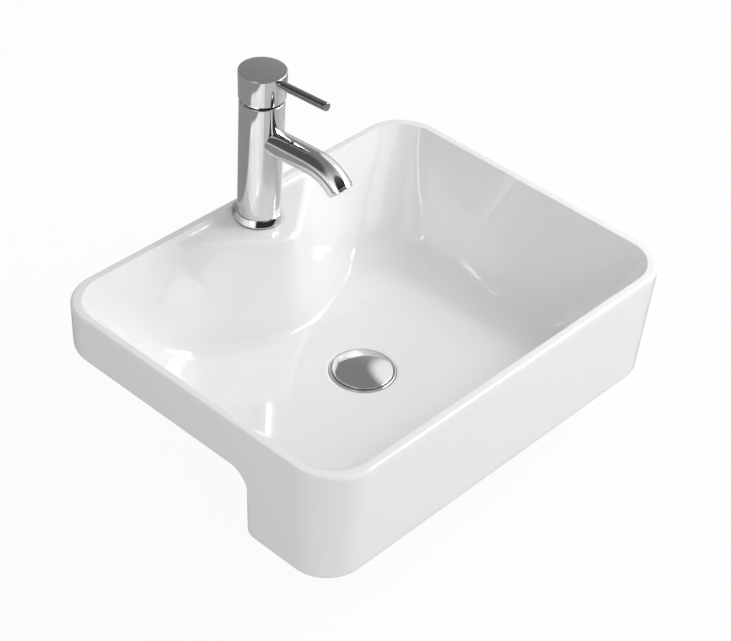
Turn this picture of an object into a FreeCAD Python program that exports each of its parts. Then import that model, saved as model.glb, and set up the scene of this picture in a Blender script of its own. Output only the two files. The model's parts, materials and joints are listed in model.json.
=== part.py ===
"""Semi recessed basin with its single lever tap and its click plug waste.

Frame: millimetres, +Z up. The origin is where the axis of the waste crosses the face that rests on
the worktop. The user stands at -Y, the wall is at +Y.
"""
import FreeCAD
import Part
import os
import re

import Sketcher

doc = FreeCAD.newDocument("semi_recessed_basin")
sheet = doc.addObject("Spreadsheet::Sheet", "sizes")

# ---------------------------------------------------------------- driving dimensions

SIZES = {
    # basin, outside
    "rim_width": 481,             # across the rim
    "rim_depth": 366,             # from the front of the rim to its back
    "waste_to_back": 180,         # from the axis of the waste to the back
    "rim_height": 53,             # rim above the worktop
    "basin_height": 127,          # rim to the underside of the deep front
    "step_to_back": 257,          # from the riser of the step to the back
    "side_draft": 6,              # how far each side leans in, top to bottom
    "front_draft": 6.7,           # how far the front leans in, top to bottom
    "outer_corner": 46.5,         # radius of the corners in plan
    "step_hollow": 18,            # radius where the riser meets the shallow underside
    "step_nose": 10,              # radius where the riser meets the deep underside
    "lower_edge": 6,              # rounding of the lower edge
    "rim_edge": 3,                # rounding of the rim
    # basin, inside
    "rim_wall": 9,                # thickness of the rim
    "skirt_wall": 11,             # thickness of the outer skirt
    "bowl_wall": 9,               # thickness of the bowl's walls
    "floor_wall": 12,             # thickness of the bowl's floor
    "seam_overlap": 3,            # how far the hanging bowl runs up into the rim's form
    "bowl_depth": 113,            # rim to the foot of the walls
    "side_slope": 61,             # how far each side wall of the bowl leans in
    "front_slope": 29,            # how far the front wall of the bowl leans in
    "back_slope": 38,             # how far the back wall of the bowl leans in
    "bowl_corner": 38,            # radius of the bowl's upright corners
    "bowl_foot": 26,              # radius where the walls meet the floor
    "dish_depth": 2,              # fall of the floor to the waste
    "dish_radius": 74,            # where that fall begins
    # tap ledge that stands into the bowl
    "ledge_drop": 7,              # rim to the top of the ledge
    "ledge_thickness": 12,
    "ledge_front": 98,            # front of the ledge, from the waste
    "ledge_nose": 15,             # half width of its front, at the top
    "ledge_spread": 105,          # half width where its flanks reach the back, at the top
    "ledge_foot": 79,             # front of the ledge at the floor, from the waste
    "ledge_foot_nose": 22,        # half width of its front, at the floor
    "ledge_foot_spread": 170,     # half width of the flanks' far ends, at the floor
    "ledge_foot_reach": 71,       # how far behind its front those ends are
    "ledge_hollow_nose": 0.8,     # nose of the hollow under it, as a share of its own half width
    "ledge_corner": 24,           # radius of the ledge's upright corners
    "ledge_edge": 8,              # rounding of the ledge's top edge
    "tap_hole": 17.5,             # radius
    "tap_to_back": 31,            # from the axis of the tap to the back
    # tap
    "tap_seal": 1.2,              # thickness of the seal under the tap
    "base_ring": 24.75,           # radius of the ring at the tap's foot
    "ring_room": 0.7,             # room between that ring and the rim behind it
    "base_ring_top": 8.5,         # its top above the ledge
    "base_ring_side": 6,          # top of its upright side above the ledge
    "body_foot": 21.75,           # radius of the tap body at its foot
    "body_top": 22.25,            # radius of the tap body at its top
    "body_height": 136,           # top of the tap body above the ledge
    "spigot": 15.5,               # radius of the spigot in the tap hole
    "spigot_depth": 5,            # how far the spigot reaches below the ledge's top
    "inlet": 4.5,                 # radius of the threaded inlets
    "inlet_depth": 14,
    "waterway": 3.6,              # radius of the drillings above the inlets
    "inlet_x": 7.5,               # inlets, to each side of the tap's axis
    "inlet_y": 5.5,               # inlets, behind the tap's axis
    "outlet": 4,                  # radius of the drilling that feeds the spout
    "outlet_y": 9,                # that drilling, in front of the tap's axis
    "spout": 13,                  # outer radius of the spout
    "spout_bore": 9.5,
    "spout_below_top": 40.8,      # spout's axis where it leaves the tap's axis, below the body's top
    "spout_lift": 3,              # degrees that its straight run rises
    "spout_drop": 42,             # degrees that its end points down
    "spout_run": 70.5,            # length of the straight run, from the tap's axis
    "spout_bend": 48,             # radius of the bend
    "spout_end": 2,               # straight length after the bend
    # cartridge
    "cavity": 17.6,               # radius of the cavity for the cartridge
    "cavity_depth": 30,           # from the top of the tap body
    "cartridge": 17.4,            # radius of the cartridge
    "cartridge_seal": 1.3,        # height of the seals under the cartridge
    "cartridge_base": 3,          # thickness of the cartridge's base
    "disc_thickness": 3,
    "fixed_disc": 14.5,           # radius
    "moving_disc": 9.4,           # radius
    "nut_height": 8,              # of the cartridge nut, down to the top of the housing
    "cartridge_wall": 2.2,
    "carrier_gap": 0.2,           # running gap round the carrier
    "carrier_neck": 11,           # radius of the carrier's neck
    "carrier_sunk": 1.5,          # top of that neck below the body's top
    "pivot_depth": 6,             # pivot of the spindle below the body's top
    "pivot_pin": 1.5,             # radius
    "pin_gap": 0.05,              # running gap round the pivot pin
    "spindle": 3.5,               # half width of the square spindle
    "spindle_rise": 22,           # top of the spindle above the body's top
    "spindle_ball": 1.9,          # radius of the spindle's lower end
    "spindle_arm": 13.9,          # pivot to the centre of that end
    "ball_socket": 2.3,           # depth of its socket in the moving disc
    "nut_inner": 12.5,            # inner radius of the cartridge nut
    "dome": 20.2,                 # radius of the dome, about the pivot
    "dome_wall": 1.5,
    "dome_rise": 9,               # top of the dome above the body's top
    # lever
    "hub_gap": 3.5,               # between the body's top and the hub
    "hub_height": 28.5,
    "hub_foot": 23,               # radius at the bottom
    "hub_crown": 23.8,            # radius at the top
    "hub_inner": 21.2,            # radius of the hollow
    "hub_hollow": 10.5,           # depth of the hollow
    "hub_chamfer": 0.8,
    "socket_gap": 0.2,            # gap round the spindle in the hub
    "lever_pin": 4.25,            # radius
    "lever_root": 15,             # inner end of the thick part, from the tap's axis
    "lever_below_crown": 5.7,     # that end below the top of the hub
    "lever_length": 70,
    "lever_tilt": 86.5,           # angle between the lever and the upright
    "lever_thread": 3,            # radius
    "lever_thread_length": 6,
    "lever_gap": 0.05,            # gap round the lever in the hub
    "lever_chamfer": 1.2,
    "screw_below_crown": 13,      # set screw below the top of the hub
    "screw_radius": 2.4,
    "screw_length": 11,
    "plug_radius": 3.4,           # index plug that covers the set screw
    "plug_depth": 3.5,
    # spout end
    "aerator": 11.1,              # outer radius of the aerator housing
    "aerator_wall": 1.8,
    "aerator_depth": 9,           # how far it sits in the spout
    "aerator_lip": 2,             # how far it shows
    "aerator_lip_radius": 12.3,
    "aerator_seal": 1.2,
    "lip_gap": 0.3,               # gap between the lip and the spout's end
    "jet": 0.8,                   # radius of a jet
    "jet_ring": 5.5,              # radius of the ring of jets
    "jet_count": 12,
    # fixing under the ledge
    "stud": 4,                    # radius
    "stud_y": 9,                  # in front of the tap's axis
    "stud_bottom": 44,            # below the ledge's top
    "stud_top": 20,               # above the ledge's top
    "stud_gap": 0.05,
    "clamp_radius": 19.5,         # horseshoe washer and plate
    "clamp_washer": 3,            # thickness
    "clamp_plate": 2.5,           # thickness
    "clamp_slot": 13.2,           # half width of the slot round the supply tails
    "clamp_slot_y": 3.2,          # front of the slot, in front of the tap's axis
    "clamp_nut": 7.5,             # circumradius
    "clamp_nut_height": 10,
    # waste
    "waste_hole": 23,             # radius
    "flange": 33,                 # radius
    "flange_thickness": 2.5,
    "flange_seat": 2.5,           # depth of its seat in the floor
    "flange_gap": 0.5,            # gap round it
    "waste_seal": 1,
    "tail": 20.95,                # outer radius of the threaded tail
    "tail_bore": 18,
    "tail_length": 76,            # from the top of the flange
    "tail_groove": 34,            # groove between the nut's thread and the outlet's, from the flange
    "tail_groove_width": 2,
    "tail_groove_depth": 0.8,
    "cap_recess": 30.8,           # radius of the recess for the cap
    "cap_recess_depth": 1.2,
    "cap": 30.2,                  # radius
    "cap_edge": 1.4,              # height of the cap's edge
    "cap_rise": 3.4,              # height of its dome above that edge
    "cap_wall": 1.5,
    "cap_seal": 1,
    "under_seal": 34,             # radius of the seal under the basin
    "under_seal_height": 4,
    "slip_washer": 1.5,
    "back_nut": 32,               # circumradius
    "back_nut_height": 10,
    "thread_gap": 0.05,
    "boss": 8,                    # radius of the boss that carries the click unit
    "boss_top": 18,               # below the top of the flange
    "boss_height": 10,
    "arm_width": 3,               # of the cross that holds the boss
    "arm_drop": 2,                # boss above those arms
    "click_housing": 6,           # radius
    "click_bottom": 46,           # below the top of the flange
    "click_bore": 4.2,
    "stem": 2.5,                  # radius
    "stem_piston": 4,
    "stem_bottom": 30,            # below the top of the flange
    "stem_piston_height": 3,
    "spring_wire": 0.4,           # radius
    "spring_radius": 3.2,
    "spring_turns": 6,
    "click_floor": 2,             # thickness of the housing's closed end
}

for row, (alias, number) in enumerate(SIZES.items(), start=1):
    sheet.set("A%d" % row, alias)
    sheet.set("B%d" % row, str(number))
    sheet.setAlias("B%d" % row, alias)
doc.recompute()

# places that follow from them
BACK = "waste_to_back"
FRONT = "(waste_to_back - rim_depth)"
STEP = "(waste_to_back - step_to_back)"
BOTTOM = "(rim_height - basin_height)"
LEDGE = "(rim_height - ledge_drop)"
TAP = "(waste_to_back - tap_to_back)"
FOOT = "(rim_height - bowl_depth)"
DISH = "(rim_height - bowl_depth - dish_depth)"
SEAT = "(rim_height - bowl_depth - dish_depth - flange_seat)"
FLANGE = "(rim_height - bowl_depth - dish_depth - flange_seat + waste_seal + flange_thickness)"
UNDERSIDE = "(rim_height - bowl_depth - floor_wall)"
CEILING = "(rim_height - ledge_drop - ledge_thickness)"

# heights above the ledge that follow from the top of the tap body
HEIGHTS = {
    "spout_height": "(body_height - spout_below_top)",
    "cavity_floor": "(body_height - cavity_depth)",
    "cartridge_top": "(body_height - nut_height)",
    "carrier_top": "(body_height - carrier_sunk)",
    "pivot_height": "(body_height - pivot_depth)",
    "spindle_top": "(body_height + spindle_rise)",
    "dome_top": "(body_height + dome_rise)",
    "hub_bottom": "(body_height + hub_gap)",
    "hub_ceiling": "(hub_bottom + hub_hollow)",
    "hub_top": "(hub_bottom + hub_height)",
    "lever_root_height": "(hub_top - lever_below_crown)",
    "screw_height": "(hub_top - screw_below_crown)",
}

# the spout's path in the tap's own frame, each as (y, height above the ledge)
RUN_END = ("-spout_run * cos(spout_lift)", "(spout_height + spout_run * sin(spout_lift))")
BEND_CENTRE = (RUN_END[0] + " - spout_bend * sin(spout_lift)", RUN_END[1] + " - spout_bend * cos(spout_lift)")
BEND_END = (BEND_CENTRE[0] + " - spout_bend * sin(spout_drop)", BEND_CENTRE[1] + " + spout_bend * cos(spout_drop)")
SPOUT_TIP = (BEND_END[0] + " - spout_end * cos(spout_drop)", BEND_END[1] + " - spout_end * sin(spout_drop)")


def cell(text):
    """An expression in which each height is written out and each size's name points at its cell."""
    def written(word):
        name = word.group()
        if name in HEIGHTS:
            return cell(HEIGHTS[name])
        return "sizes." + name if name in SIZES else name

    return re.sub(r"[a-z_]+", written, text)


def bind(thing, **properties):
    """Ties properties of an object to expressions of the sizes."""
    for name, text in properties.items():
        thing.setExpression(name.replace("__", "."), cell(str(text)))
    return thing


def place(thing, at):
    """Puts an object at three expressions."""
    for letter, text in zip("xyz", at):
        thing.setExpression("Placement.Base." + letter, cell(str(text)))
    return thing


# ---------------------------------------------------------------- features

def new_body(label, at=("0", "0", "0")):
    body = doc.addObject("PartDesign::Body", label)
    return place(body, at)


def plane(body, role):
    return [item for item in body.Origin.OriginFeatures if item.Role == role][0]


def polygon(body, role, points, level="0"):
    """A closed outline of straight sides, each corner held at its own two expressions."""
    sketch = body.newObject("Sketcher::SketchObject", body.Name + "_outline")
    sketch.AttachmentSupport = [(plane(body, role), "")]
    sketch.MapMode = "FlatFace"
    bind(sketch, AttachmentOffset__Base__z=level)
    count = len(points)
    start = Part.makeCircle(100).discretize(count + 1)
    for i in range(count):
        sketch.addGeometry(Part.LineSegment(start[i], start[(i + 1) % count]), False)
    for i in range(count):
        sketch.addConstraint(Sketcher.Constraint("Coincident", i, 2, (i + 1) % count, 1))
    for i, (across, up) in enumerate(points):
        for kind, text in (("DistanceX", across), ("DistanceY", up)):
            index = sketch.addConstraint(Sketcher.Constraint(kind, -1, 1, i, 1, 1.0))
            sketch.setExpression("Constraints[%d]" % index, cell(str(text)))
    return sketch


def rectangle(x0, x1, y0, y1):
    return [(x0, y0), (x1, y0), (x1, y1), (x0, y1)]


def lofted(body, kind, lower, upper, lower_level, upper_level):
    """A straight-sided solid between two level outlines."""
    first = polygon(body, "XY_Plane", lower, lower_level)
    second = polygon(body, "XY_Plane", upper, upper_level)
    loft = body.newObject("PartDesign::" + kind, body.Name + "_loft")
    loft.Profile = (first, [""])
    loft.Sections = [(second, [""])]
    loft.Ruled = True
    doc.recompute()
    return loft


def turned(label, profile, at=("0", "0", "0")):
    """A body turned about its own Z axis from an outline of (radius, height) corners."""
    body = new_body(label, at)
    sketch = polygon(body, "XZ_Plane", profile)
    turn = body.newObject("PartDesign::Revolution", label + "_turn")
    turn.Profile = (sketch, [""])
    turn.ReferenceAxis = (sketch, ["V_Axis"])
    turn.Angle = 360
    body.Tip = turn
    return body


def slotted(body, role, points, both_ways=True, length=None, reverse=False):
    """Cuts an outline through a body, right through or to a length."""
    sketch = polygon(body, role, points)
    pocket = body.newObject("PartDesign::Pocket", body.Name + "_cut")
    pocket.Profile = (sketch, [""])
    pocket.Type = "ThroughAll" if length is None else "Length"
    pocket.Midplane = both_ways
    pocket.Reversed = reverse
    if length is not None:
        bind(pocket, Length=length)
    body.Tip = pocket
    doc.recompute()
    return pocket


def rounded(body, base, radius, test):
    """Rounds the edges of a feature that pass a test of their middle point and box."""
    names = []
    for number, edge in enumerate(base.Shape.Edges, start=1):
        middle = edge.valueAt((edge.FirstParameter + edge.LastParameter) / 2)
        if test(middle, edge.BoundBox):
            names.append("Edge%d" % number)
    fillet = body.newObject("PartDesign::Fillet", body.Name + "_round")
    fillet.Base = (base, names)
    bind(fillet, Radius=radius)
    body.Tip = fillet
    doc.recompute()
    return fillet


def leaning(body, kind, lower, upper, lower_level, upper_level):
    """A block whose upright sides lean from one level rectangle to another: each (x0, x1, y0, y1)."""
    (x0, x1, y0, y1), (u0, u1, v0, v1) = lower, upper
    wedge = body.newObject("PartDesign::" + kind, body.Name + "_block")
    wedge.Placement = FreeCAD.Placement(FreeCAD.Vector(0, 0, 0), FreeCAD.Rotation(FreeCAD.Vector(1, 0, 0), 90))
    bind(wedge, Xmin=x0, Xmax=x1, Zmin="-(%s)" % y1, Zmax="-(%s)" % y0, Ymin=lower_level, Ymax=upper_level)
    bind(wedge, X2min=u0, X2max=u1, Z2min="-(%s)" % v1, Z2max="-(%s)" % v0)
    body.Tip = wedge
    doc.recompute()
    return wedge


# ---------------------------------------------------------------- Part primitives

def primitive(kind, label, at=("0", "0", "0"), **properties):
    """A Part primitive, such as a cylinder, at a place of its own."""
    return place(bind(doc.addObject("Part::" + kind, label), **properties), at)


def cylinder(label, radius, height, at):
    return primitive("Cylinder", label, at, Radius=radius, Height=height)


def cut(label, base, *tools):
    """A base with one or more tools taken away."""
    result = doc.addObject("Part::Cut", label)
    result.Base = base
    result.Tool = tools[0] if len(tools) == 1 else joined(label + "_tools", *tools)
    doc.recompute()
    return result


def common(label, base, tool):
    """What two solids share."""
    result = doc.addObject("Part::Common", label)
    result.Base = base
    result.Tool = tool
    doc.recompute()
    return result


def joined(label, *pieces):
    result = doc.addObject("Part::MultiFuse", label)
    result.Shapes = list(pieces)
    doc.recompute()
    return result


def group(label, *pieces):
    """Separate solids in one node."""
    result = doc.addObject("Part::Compound", label)
    result.Links = list(pieces)
    doc.recompute()
    return result


def level(edge_box, height):
    return abs(edge_box.ZMin - height) < 0.01 and abs(edge_box.ZMax - height) < 0.01


def where(text):
    """The present number behind an expression of the sizes."""
    probe.setExpression("Height", cell(text) + " + 1000")
    doc.recompute()
    return probe.Height.Value - 1000


probe = doc.addObject("Part::Cylinder", "probe")


# ---------------------------------------------------------------- basin

def basin_outside():
    """The outer form: leaning front and sides, and the step behind the deep front."""
    body = new_body("basin_outside")
    half = "rim_width / 2"
    block = leaning(
        body, "AdditiveWedge",
        ("-%s + side_draft" % half, "%s - side_draft" % half, FRONT + " + front_draft", BACK),
        ("-" + half, half, FRONT, BACK), BOTTOM, "rim_height",
    )
    tall = where("basin_height") * 0.9
    corners = rounded(body, block, "outer_corner", lambda middle, box: box.ZLength > tall)
    step = slotted(body, "YZ_Plane", rectangle(STEP, BACK + " + 20", BOTTOM + " - 20", "0"))
    riser = where(STEP)
    bottom = where(BOTTOM)
    wide = where("rim_width") / 2

    def across(middle, box, height):
        return box.XLength > wide and abs(middle.y - riser) < 0.1 and level(box, height)

    hollow = rounded(body, step, "step_hollow", lambda middle, box: across(middle, box, 0))
    nose = rounded(body, hollow, "step_nose", lambda middle, box: across(middle, box, bottom))
    past_hollow = riser + where("step_hollow")
    past_nose = riser - where("step_nose")

    def lower(middle, box):
        on_riser = box.XLength > wide and past_nose - 1 < middle.y < past_hollow + 1
        low = box.ZMax < 0.01 if middle.y > past_nose - 1 else level(box, bottom)
        return low and not on_riser

    rounded(body, nose, "lower_edge", lower)
    return body


def bowl_space():
    """The hollow of the bowl, with the tap ledge standing into it."""
    body = new_body("bowl_space")
    half = "rim_width / 2 - rim_wall"
    block = leaning(
        body, "AdditiveWedge",
        ("-(%s) + side_slope" % half, "%s - side_slope" % half,
         FRONT + " + rim_wall + front_slope", BACK + " - rim_wall - back_slope"),
        ("-(%s)" % half, half, FRONT + " + rim_wall", BACK + " - rim_wall"), FOOT, "rim_height",
    )
    tall = where("bowl_depth") * 0.9
    rounded(body, block, "bowl_corner", lambda middle, box: box.ZLength > tall)
    foot_back = "ledge_foot + ledge_foot_reach"
    top_back = BACK
    ledge = lofted(
        body, "SubtractiveLoft",
        [("-ledge_foot_spread", foot_back), ("-ledge_foot_nose", "ledge_foot"),
         ("ledge_foot_nose", "ledge_foot"), ("ledge_foot_spread", foot_back)],
        [("-ledge_spread", top_back), ("-ledge_nose", "ledge_front"),
         ("ledge_nose", "ledge_front"), ("ledge_spread", top_back)], FOOT, LEDGE,
    )
    deep = where("bowl_depth") * 0.5
    nose = where("(ledge_foot_nose + ledge_foot_spread) / 2")
    back = where(BACK + " - rim_wall - back_slope")
    front = rounded(
        body, ledge, "ledge_corner",
        lambda middle, box: box.ZLength > deep and abs(middle.x) < nose and 0 < middle.y < back - 5,
    )
    sides = rounded(
        body, front, "ledge_corner",
        lambda middle, box: box.ZLength > deep and nose < abs(middle.x) < 1.5 * nose and middle.y > back,
    )
    floor = where(FOOT)
    foot = rounded(body, sides, "bowl_foot", lambda middle, box: level(box, floor))
    top = where(LEDGE)
    behind = where(BACK + " - rim_wall - back_slope * ledge_drop / bowl_depth") - 0.5
    rounded(
        body, foot, "ledge_edge",
        lambda middle, box: level(box, top) and middle.y < behind and box.YMin < behind - 1,
    )
    return body


def bowl_skin():
    """The bowl's outer side under the basin, with the hollow under the tap ledge."""
    body = new_body("bowl_skin")
    half = "rim_width / 2 - rim_wall + bowl_wall"
    block = leaning(
        body, "AdditiveWedge",
        ("-(%s) + side_slope" % half, "%s - side_slope" % half,
         FRONT + " + rim_wall + front_slope - bowl_wall", BACK + " - rim_wall - back_slope + bowl_wall"),
        ("-(%s)" % half, half, FRONT + " + rim_wall - bowl_wall", BACK + " - rim_wall + bowl_wall"),
        UNDERSIDE, "rim_height",
    )
    tall = where("bowl_depth") * 0.9
    corners = rounded(body, block, "bowl_corner + bowl_wall", lambda middle, box: box.ZLength > tall)
    floor = where(UNDERSIDE)
    rounded(body, corners, "bowl_foot + bowl_wall", lambda middle, box: level(box, floor))
    far = "(" + BACK + " + 20)"

    def behind(front, nose, slope):
        """The outline behind the ledge's wall, out to past the back."""
        near = "(%s + ledge_thickness)" % front
        reach = "(%s * ledge_hollow_nose + (%s - %s) * %s)" % (nose, far, near, slope)
        inner = "%s * ledge_hollow_nose" % nose
        return [("-" + reach, far), ("-" + inner, near), (inner, near), (reach, far)]

    foot_slope = "(ledge_foot_spread - ledge_foot_nose) / ledge_foot_reach"
    top_slope = "(ledge_spread - ledge_nose) / (%s - ledge_front)" % BACK
    lofted(
        body, "SubtractiveLoft",
        behind("ledge_foot", "ledge_foot_nose", foot_slope),
        behind("ledge_front", "ledge_nose", top_slope), UNDERSIDE, LEDGE,
    )
    return body


def hollow_under_rim():
    """The hollow between the skirt and the bowl, open below, with a web behind the riser."""
    body = new_body("hollow_under_rim")
    half = "rim_width / 2 - skirt_wall"
    leaning(
        body, "AdditiveWedge",
        ("-(%s) + side_draft" % half, "%s - side_draft" % half,
         FRONT + " + front_draft + skirt_wall", BACK + " - skirt_wall"),
        ("-(%s)" % half, half, FRONT + " + skirt_wall", BACK + " - skirt_wall"), BOTTOM + " - 1", CEILING,
    )
    tall = where("basin_height") * 0.5
    rounded(body, body.Tip, "outer_corner - skirt_wall", lambda middle, box: box.ZLength > tall)
    slotted(
        body, "YZ_Plane",
        rectangle(STEP + " - skirt_wall", STEP + " + step_hollow", BOTTOM + " - 20", "rim_height"),
    )
    return body


def basin():
    """The ceramic: the rim with its tap ledge, the bowl that hangs from it and the skirt round that."""
    skin = bowl_skin()
    hollow = cut("open_hollow", hollow_under_rim(), skin)
    dish = primitive(
        "Cone", "floor_dish", ("0", "0", DISH), Radius1="flange", Radius2="dish_radius", Height="dish_depth"
    )
    seat = cylinder("flange_recess", "flange + flange_gap", "bowl_depth", ("0", "0", SEAT))
    drain = cylinder("drain_hole", "waste_hole", "basin_height", ("0", "0", BOTTOM))
    tap = cylinder("tap_hole_space", "tap_hole", "rim_height", ("0", TAP, "0"))
    slab = primitive(
        "Box", "hanging_slab", ("-rim_width / 2", STEP + " - skirt_wall / 2", UNDERSIDE + " - 1"),
        Length="rim_width", Width="step_to_back", Height="1 + seam_overlap - %s" % UNDERSIDE,
    )
    solid = joined("solid_form", basin_outside(), common("hanging_bowl", skin, slab))
    ceramic = cut("ceramic", solid, hollow, bowl_space(), dish, seat, drain, tap)
    top = where("rim_height")
    rim = doc.addObject("Part::Fillet", "rounded_rim")
    rim.Base = ceramic
    rim.Edges = [
        (number, where("rim_edge"), where("rim_edge"))
        for number, edge in enumerate(ceramic.Shape.Edges, start=1)
        if level(edge.BoundBox, top)
    ]
    doc.recompute()
    recess = cylinder("tap_recess", "base_ring + ring_room", "rim_height", ("0", TAP, LEDGE))
    whole = cut("whole_basin", rim, recess)
    above = primitive(
        "Box", "space_above_skirt", ("-rim_width", FRONT + " - 10", CEILING),
        Length="2 * rim_width", Width="rim_depth + 20", Height="rim_height",
    )
    common("basin_rim", whole, above)
    below = cut("below_rim", whole, above)
    common("basin_bowl", below, skin)
    cut("basin_skirt", below, skin)


# ---------------------------------------------------------------- tap

TAP_AT = ("0", TAP, LEDGE)


def drilled(body, radius, height, at, tilt=None):
    """Takes a cylinder out of a body; tilt turns it about X from upright towards the user."""
    hole = body.newObject("PartDesign::SubtractiveCylinder", body.Name + "_hole")
    bind(place(hole, at), Radius=radius, Height=height)
    body.Tip = hole
    if tilt is not None:
        hole.Placement = FreeCAD.Placement(hole.Placement.Base, FreeCAD.Rotation(FreeCAD.Vector(1, 0, 0), 45))
        bind(hole, Placement__Rotation__Angle=tilt)
    return hole


def leaned(body, angle):
    """Turns a whole body about X from upright towards the user."""
    body.Placement = FreeCAD.Placement(body.Placement.Base, FreeCAD.Rotation(FreeCAD.Vector(1, 0, 0), 45))
    return bind(body, Placement__Rotation__Angle=angle)


def ring(label, inner, outer, low, high, at=TAP_AT):
    """A plain ring between two heights."""
    return turned(label, [(inner, low), (outer, low), (outer, high), (inner, high)], at)


def spout_path(body):
    """The spout's axis: a straight run, a bend and a short straight end."""
    sketch = body.newObject("Sketcher::SketchObject", "spout_path")
    sketch.AttachmentSupport = [(plane(body, "YZ_Plane"), "")]
    sketch.MapMode = "FlatFace"
    names = {"start": ("0", "spout_height"), "run": RUN_END, "centre": BEND_CENTRE, "bend": BEND_END, "tip": SPOUT_TIP}
    spot = {name: FreeCAD.Vector(where(y), where(z), 0) for name, (y, z) in names.items()}
    circle = Part.Circle(spot["centre"], FreeCAD.Vector(0, 0, 1), where("spout_bend"))
    first = circle.parameter(spot["run"])
    last = circle.parameter(spot["bend"])
    sketch.addGeometry(Part.LineSegment(spot["start"], spot["run"]), False)
    sketch.addGeometry(Part.ArcOfCircle(circle, first, last), False)
    sketch.addGeometry(Part.LineSegment(spot["bend"], spot["tip"]), False)
    sketch.addConstraint(Sketcher.Constraint("Coincident", 0, 2, 1, 1))
    sketch.addConstraint(Sketcher.Constraint("Coincident", 1, 2, 2, 1))
    held = [("start", 0, 1, "XY"), ("run", 0, 2, "XY"), ("centre", 1, 3, "XY"), ("bend", 1, 2, "X"), ("tip", 2, 2, "XY")]
    for name, line, end, ways in held:
        for way in ways:
            text = names[name]["XY".index(way)]
            index = sketch.addConstraint(Sketcher.Constraint("Distance" + way, -1, 1, line, end, where(text)))
            sketch.setExpression("Constraints[%d]" % index, cell(text))
    doc.recompute()
    return sketch


def round_section(body, radius):
    """A circle round the start of the spout's axis, square to it."""
    sketch = body.newObject("Sketcher::SketchObject", body.Name + "_section")
    sketch.AttachmentSupport = [(plane(body, "XZ_Plane"), "")]
    sketch.MapMode = "FlatFace"
    sketch.AttachmentOffset = FreeCAD.Placement(FreeCAD.Vector(0, 0, 0), FreeCAD.Rotation(FreeCAD.Vector(-1, 0, 0), 1))
    bind(sketch, AttachmentOffset__Base__y="spout_height", AttachmentOffset__Rotation__Angle="spout_lift")
    sketch.addGeometry(Part.Circle(FreeCAD.Vector(0, 0, 0), FreeCAD.Vector(0, 0, 1), where(radius)), False)
    sketch.addConstraint(Sketcher.Constraint("Coincident", 0, 3, -1, 1))
    index = sketch.addConstraint(Sketcher.Constraint("Radius", 0, 1.0))
    sketch.setExpression("Constraints[%d]" % index, cell(radius))
    return sketch


def swept(body, kind, radius, path):
    pipe = body.newObject("PartDesign::" + kind, body.Name + "_sweep")
    pipe.Profile = (round_section(body, radius), [""])
    pipe.Spine = (path, ["Edge1", "Edge2", "Edge3"])
    body.Tip = pipe
    doc.recompute()


def tap_body():
    """The casting: upright body, spigot and spout, with its cavity and waterways."""
    top = "body_height"
    foot = "base_ring_top"
    body = turned("tap_body", [
        ("0", "-spigot_depth"), ("spigot", "-spigot_depth"), ("spigot", foot), ("body_foot", foot),
        ("body_top", top + " - 1"), ("body_top - 1", top), ("0", top),
    ], TAP_AT)
    path = spout_path(body)
    swept(body, "AdditivePipe", "spout", path)
    swept(body, "SubtractivePipe", "spout_bore", path)
    drilled(body, "cavity", "body_height", ("0", "0", "cavity_floor"))
    for side in ("-inlet_x", "inlet_x"):
        drilled(body, "inlet", "inlet_depth", (side, "inlet_y", "-spigot_depth"))
        drilled(body, "waterway", "cavity_floor", (side, "inlet_y", "0"))
    drilled(body, "outlet", "cavity_floor - spout_height", ("0", "-outlet_y", "spout_height"))
    drilled(body, "stud + stud_gap", "stud_top + spigot_depth", ("0", "-stud_y", "-spigot_depth"))
    deep = "(aerator_depth + aerator_seal)"
    inner_end = (
        "0", SPOUT_TIP[0] + " + %s * cos(spout_drop)" % deep, SPOUT_TIP[1] + " + %s * sin(spout_drop)" % deep,
    )
    drilled(body, "aerator + thread_gap", deep + " + 1", inner_end, "90 + spout_drop")
    return body


def tap_foot():
    ring("tap_base_seal", "spigot + 2", "base_ring - 0.6", "0", "tap_seal")
    turned("tap_base_ring", [
        ("spigot + stud_gap", "tap_seal"), ("base_ring", "tap_seal"), ("base_ring", "base_ring_side"),
        ("body_foot + 1", "base_ring_top"), ("spigot + stud_gap", "base_ring_top"),
    ], TAP_AT)


def under_ledge(below):
    """A height under the ledge's lower face, in the tap's own frame."""
    return "-(ledge_thickness + %s)" % below


def horseshoe(label, top, thickness):
    """A washer or plate that is open round the supply tails."""
    body = turned(label, [
        ("0", under_ledge(top + " + " + thickness)), ("clamp_radius", under_ledge(top + " + " + thickness)),
        ("clamp_radius", under_ledge(top)), ("0", under_ledge(top)),
    ], TAP_AT)
    slotted(body, "XY_Plane", rectangle("-clamp_slot", "clamp_slot", "-clamp_slot_y", "clamp_radius + 5"))
    drilled(body, "stud + stud_gap * 4", "ledge_thickness * 3", ("0", "-stud_y", under_ledge("ledge_thickness * 2")))
    return body


def tap_fixing():
    """What holds the tap down from under the ledge."""
    horseshoe("horseshoe_washer", "0", "clamp_washer")
    horseshoe("horseshoe_plate", "clamp_washer", "clamp_plate")
    stud_at = ("0", TAP + " - stud_y", LEDGE)
    stud_foot = (stud_at[0], stud_at[1], LEDGE + " - stud_bottom")
    cylinder("mounting_stud", "stud", "stud_bottom + stud_top - spigot_depth", stud_foot)
    nut_low = LEDGE + " - ledge_thickness - clamp_washer - clamp_plate - clamp_nut_height"
    blank = primitive(
        "Prism", "mounting_nut_blank", (stud_at[0], stud_at[1], nut_low),
        Circumradius="clamp_nut", Height="clamp_nut_height",
    )
    hole = cylinder("mounting_nut_hole", "stud + stud_gap", "clamp_nut_height", (stud_at[0], stud_at[1], nut_low))
    cut("mounting_nut", blank, hole)


# ---------------------------------------------------------------- cartridge

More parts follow.
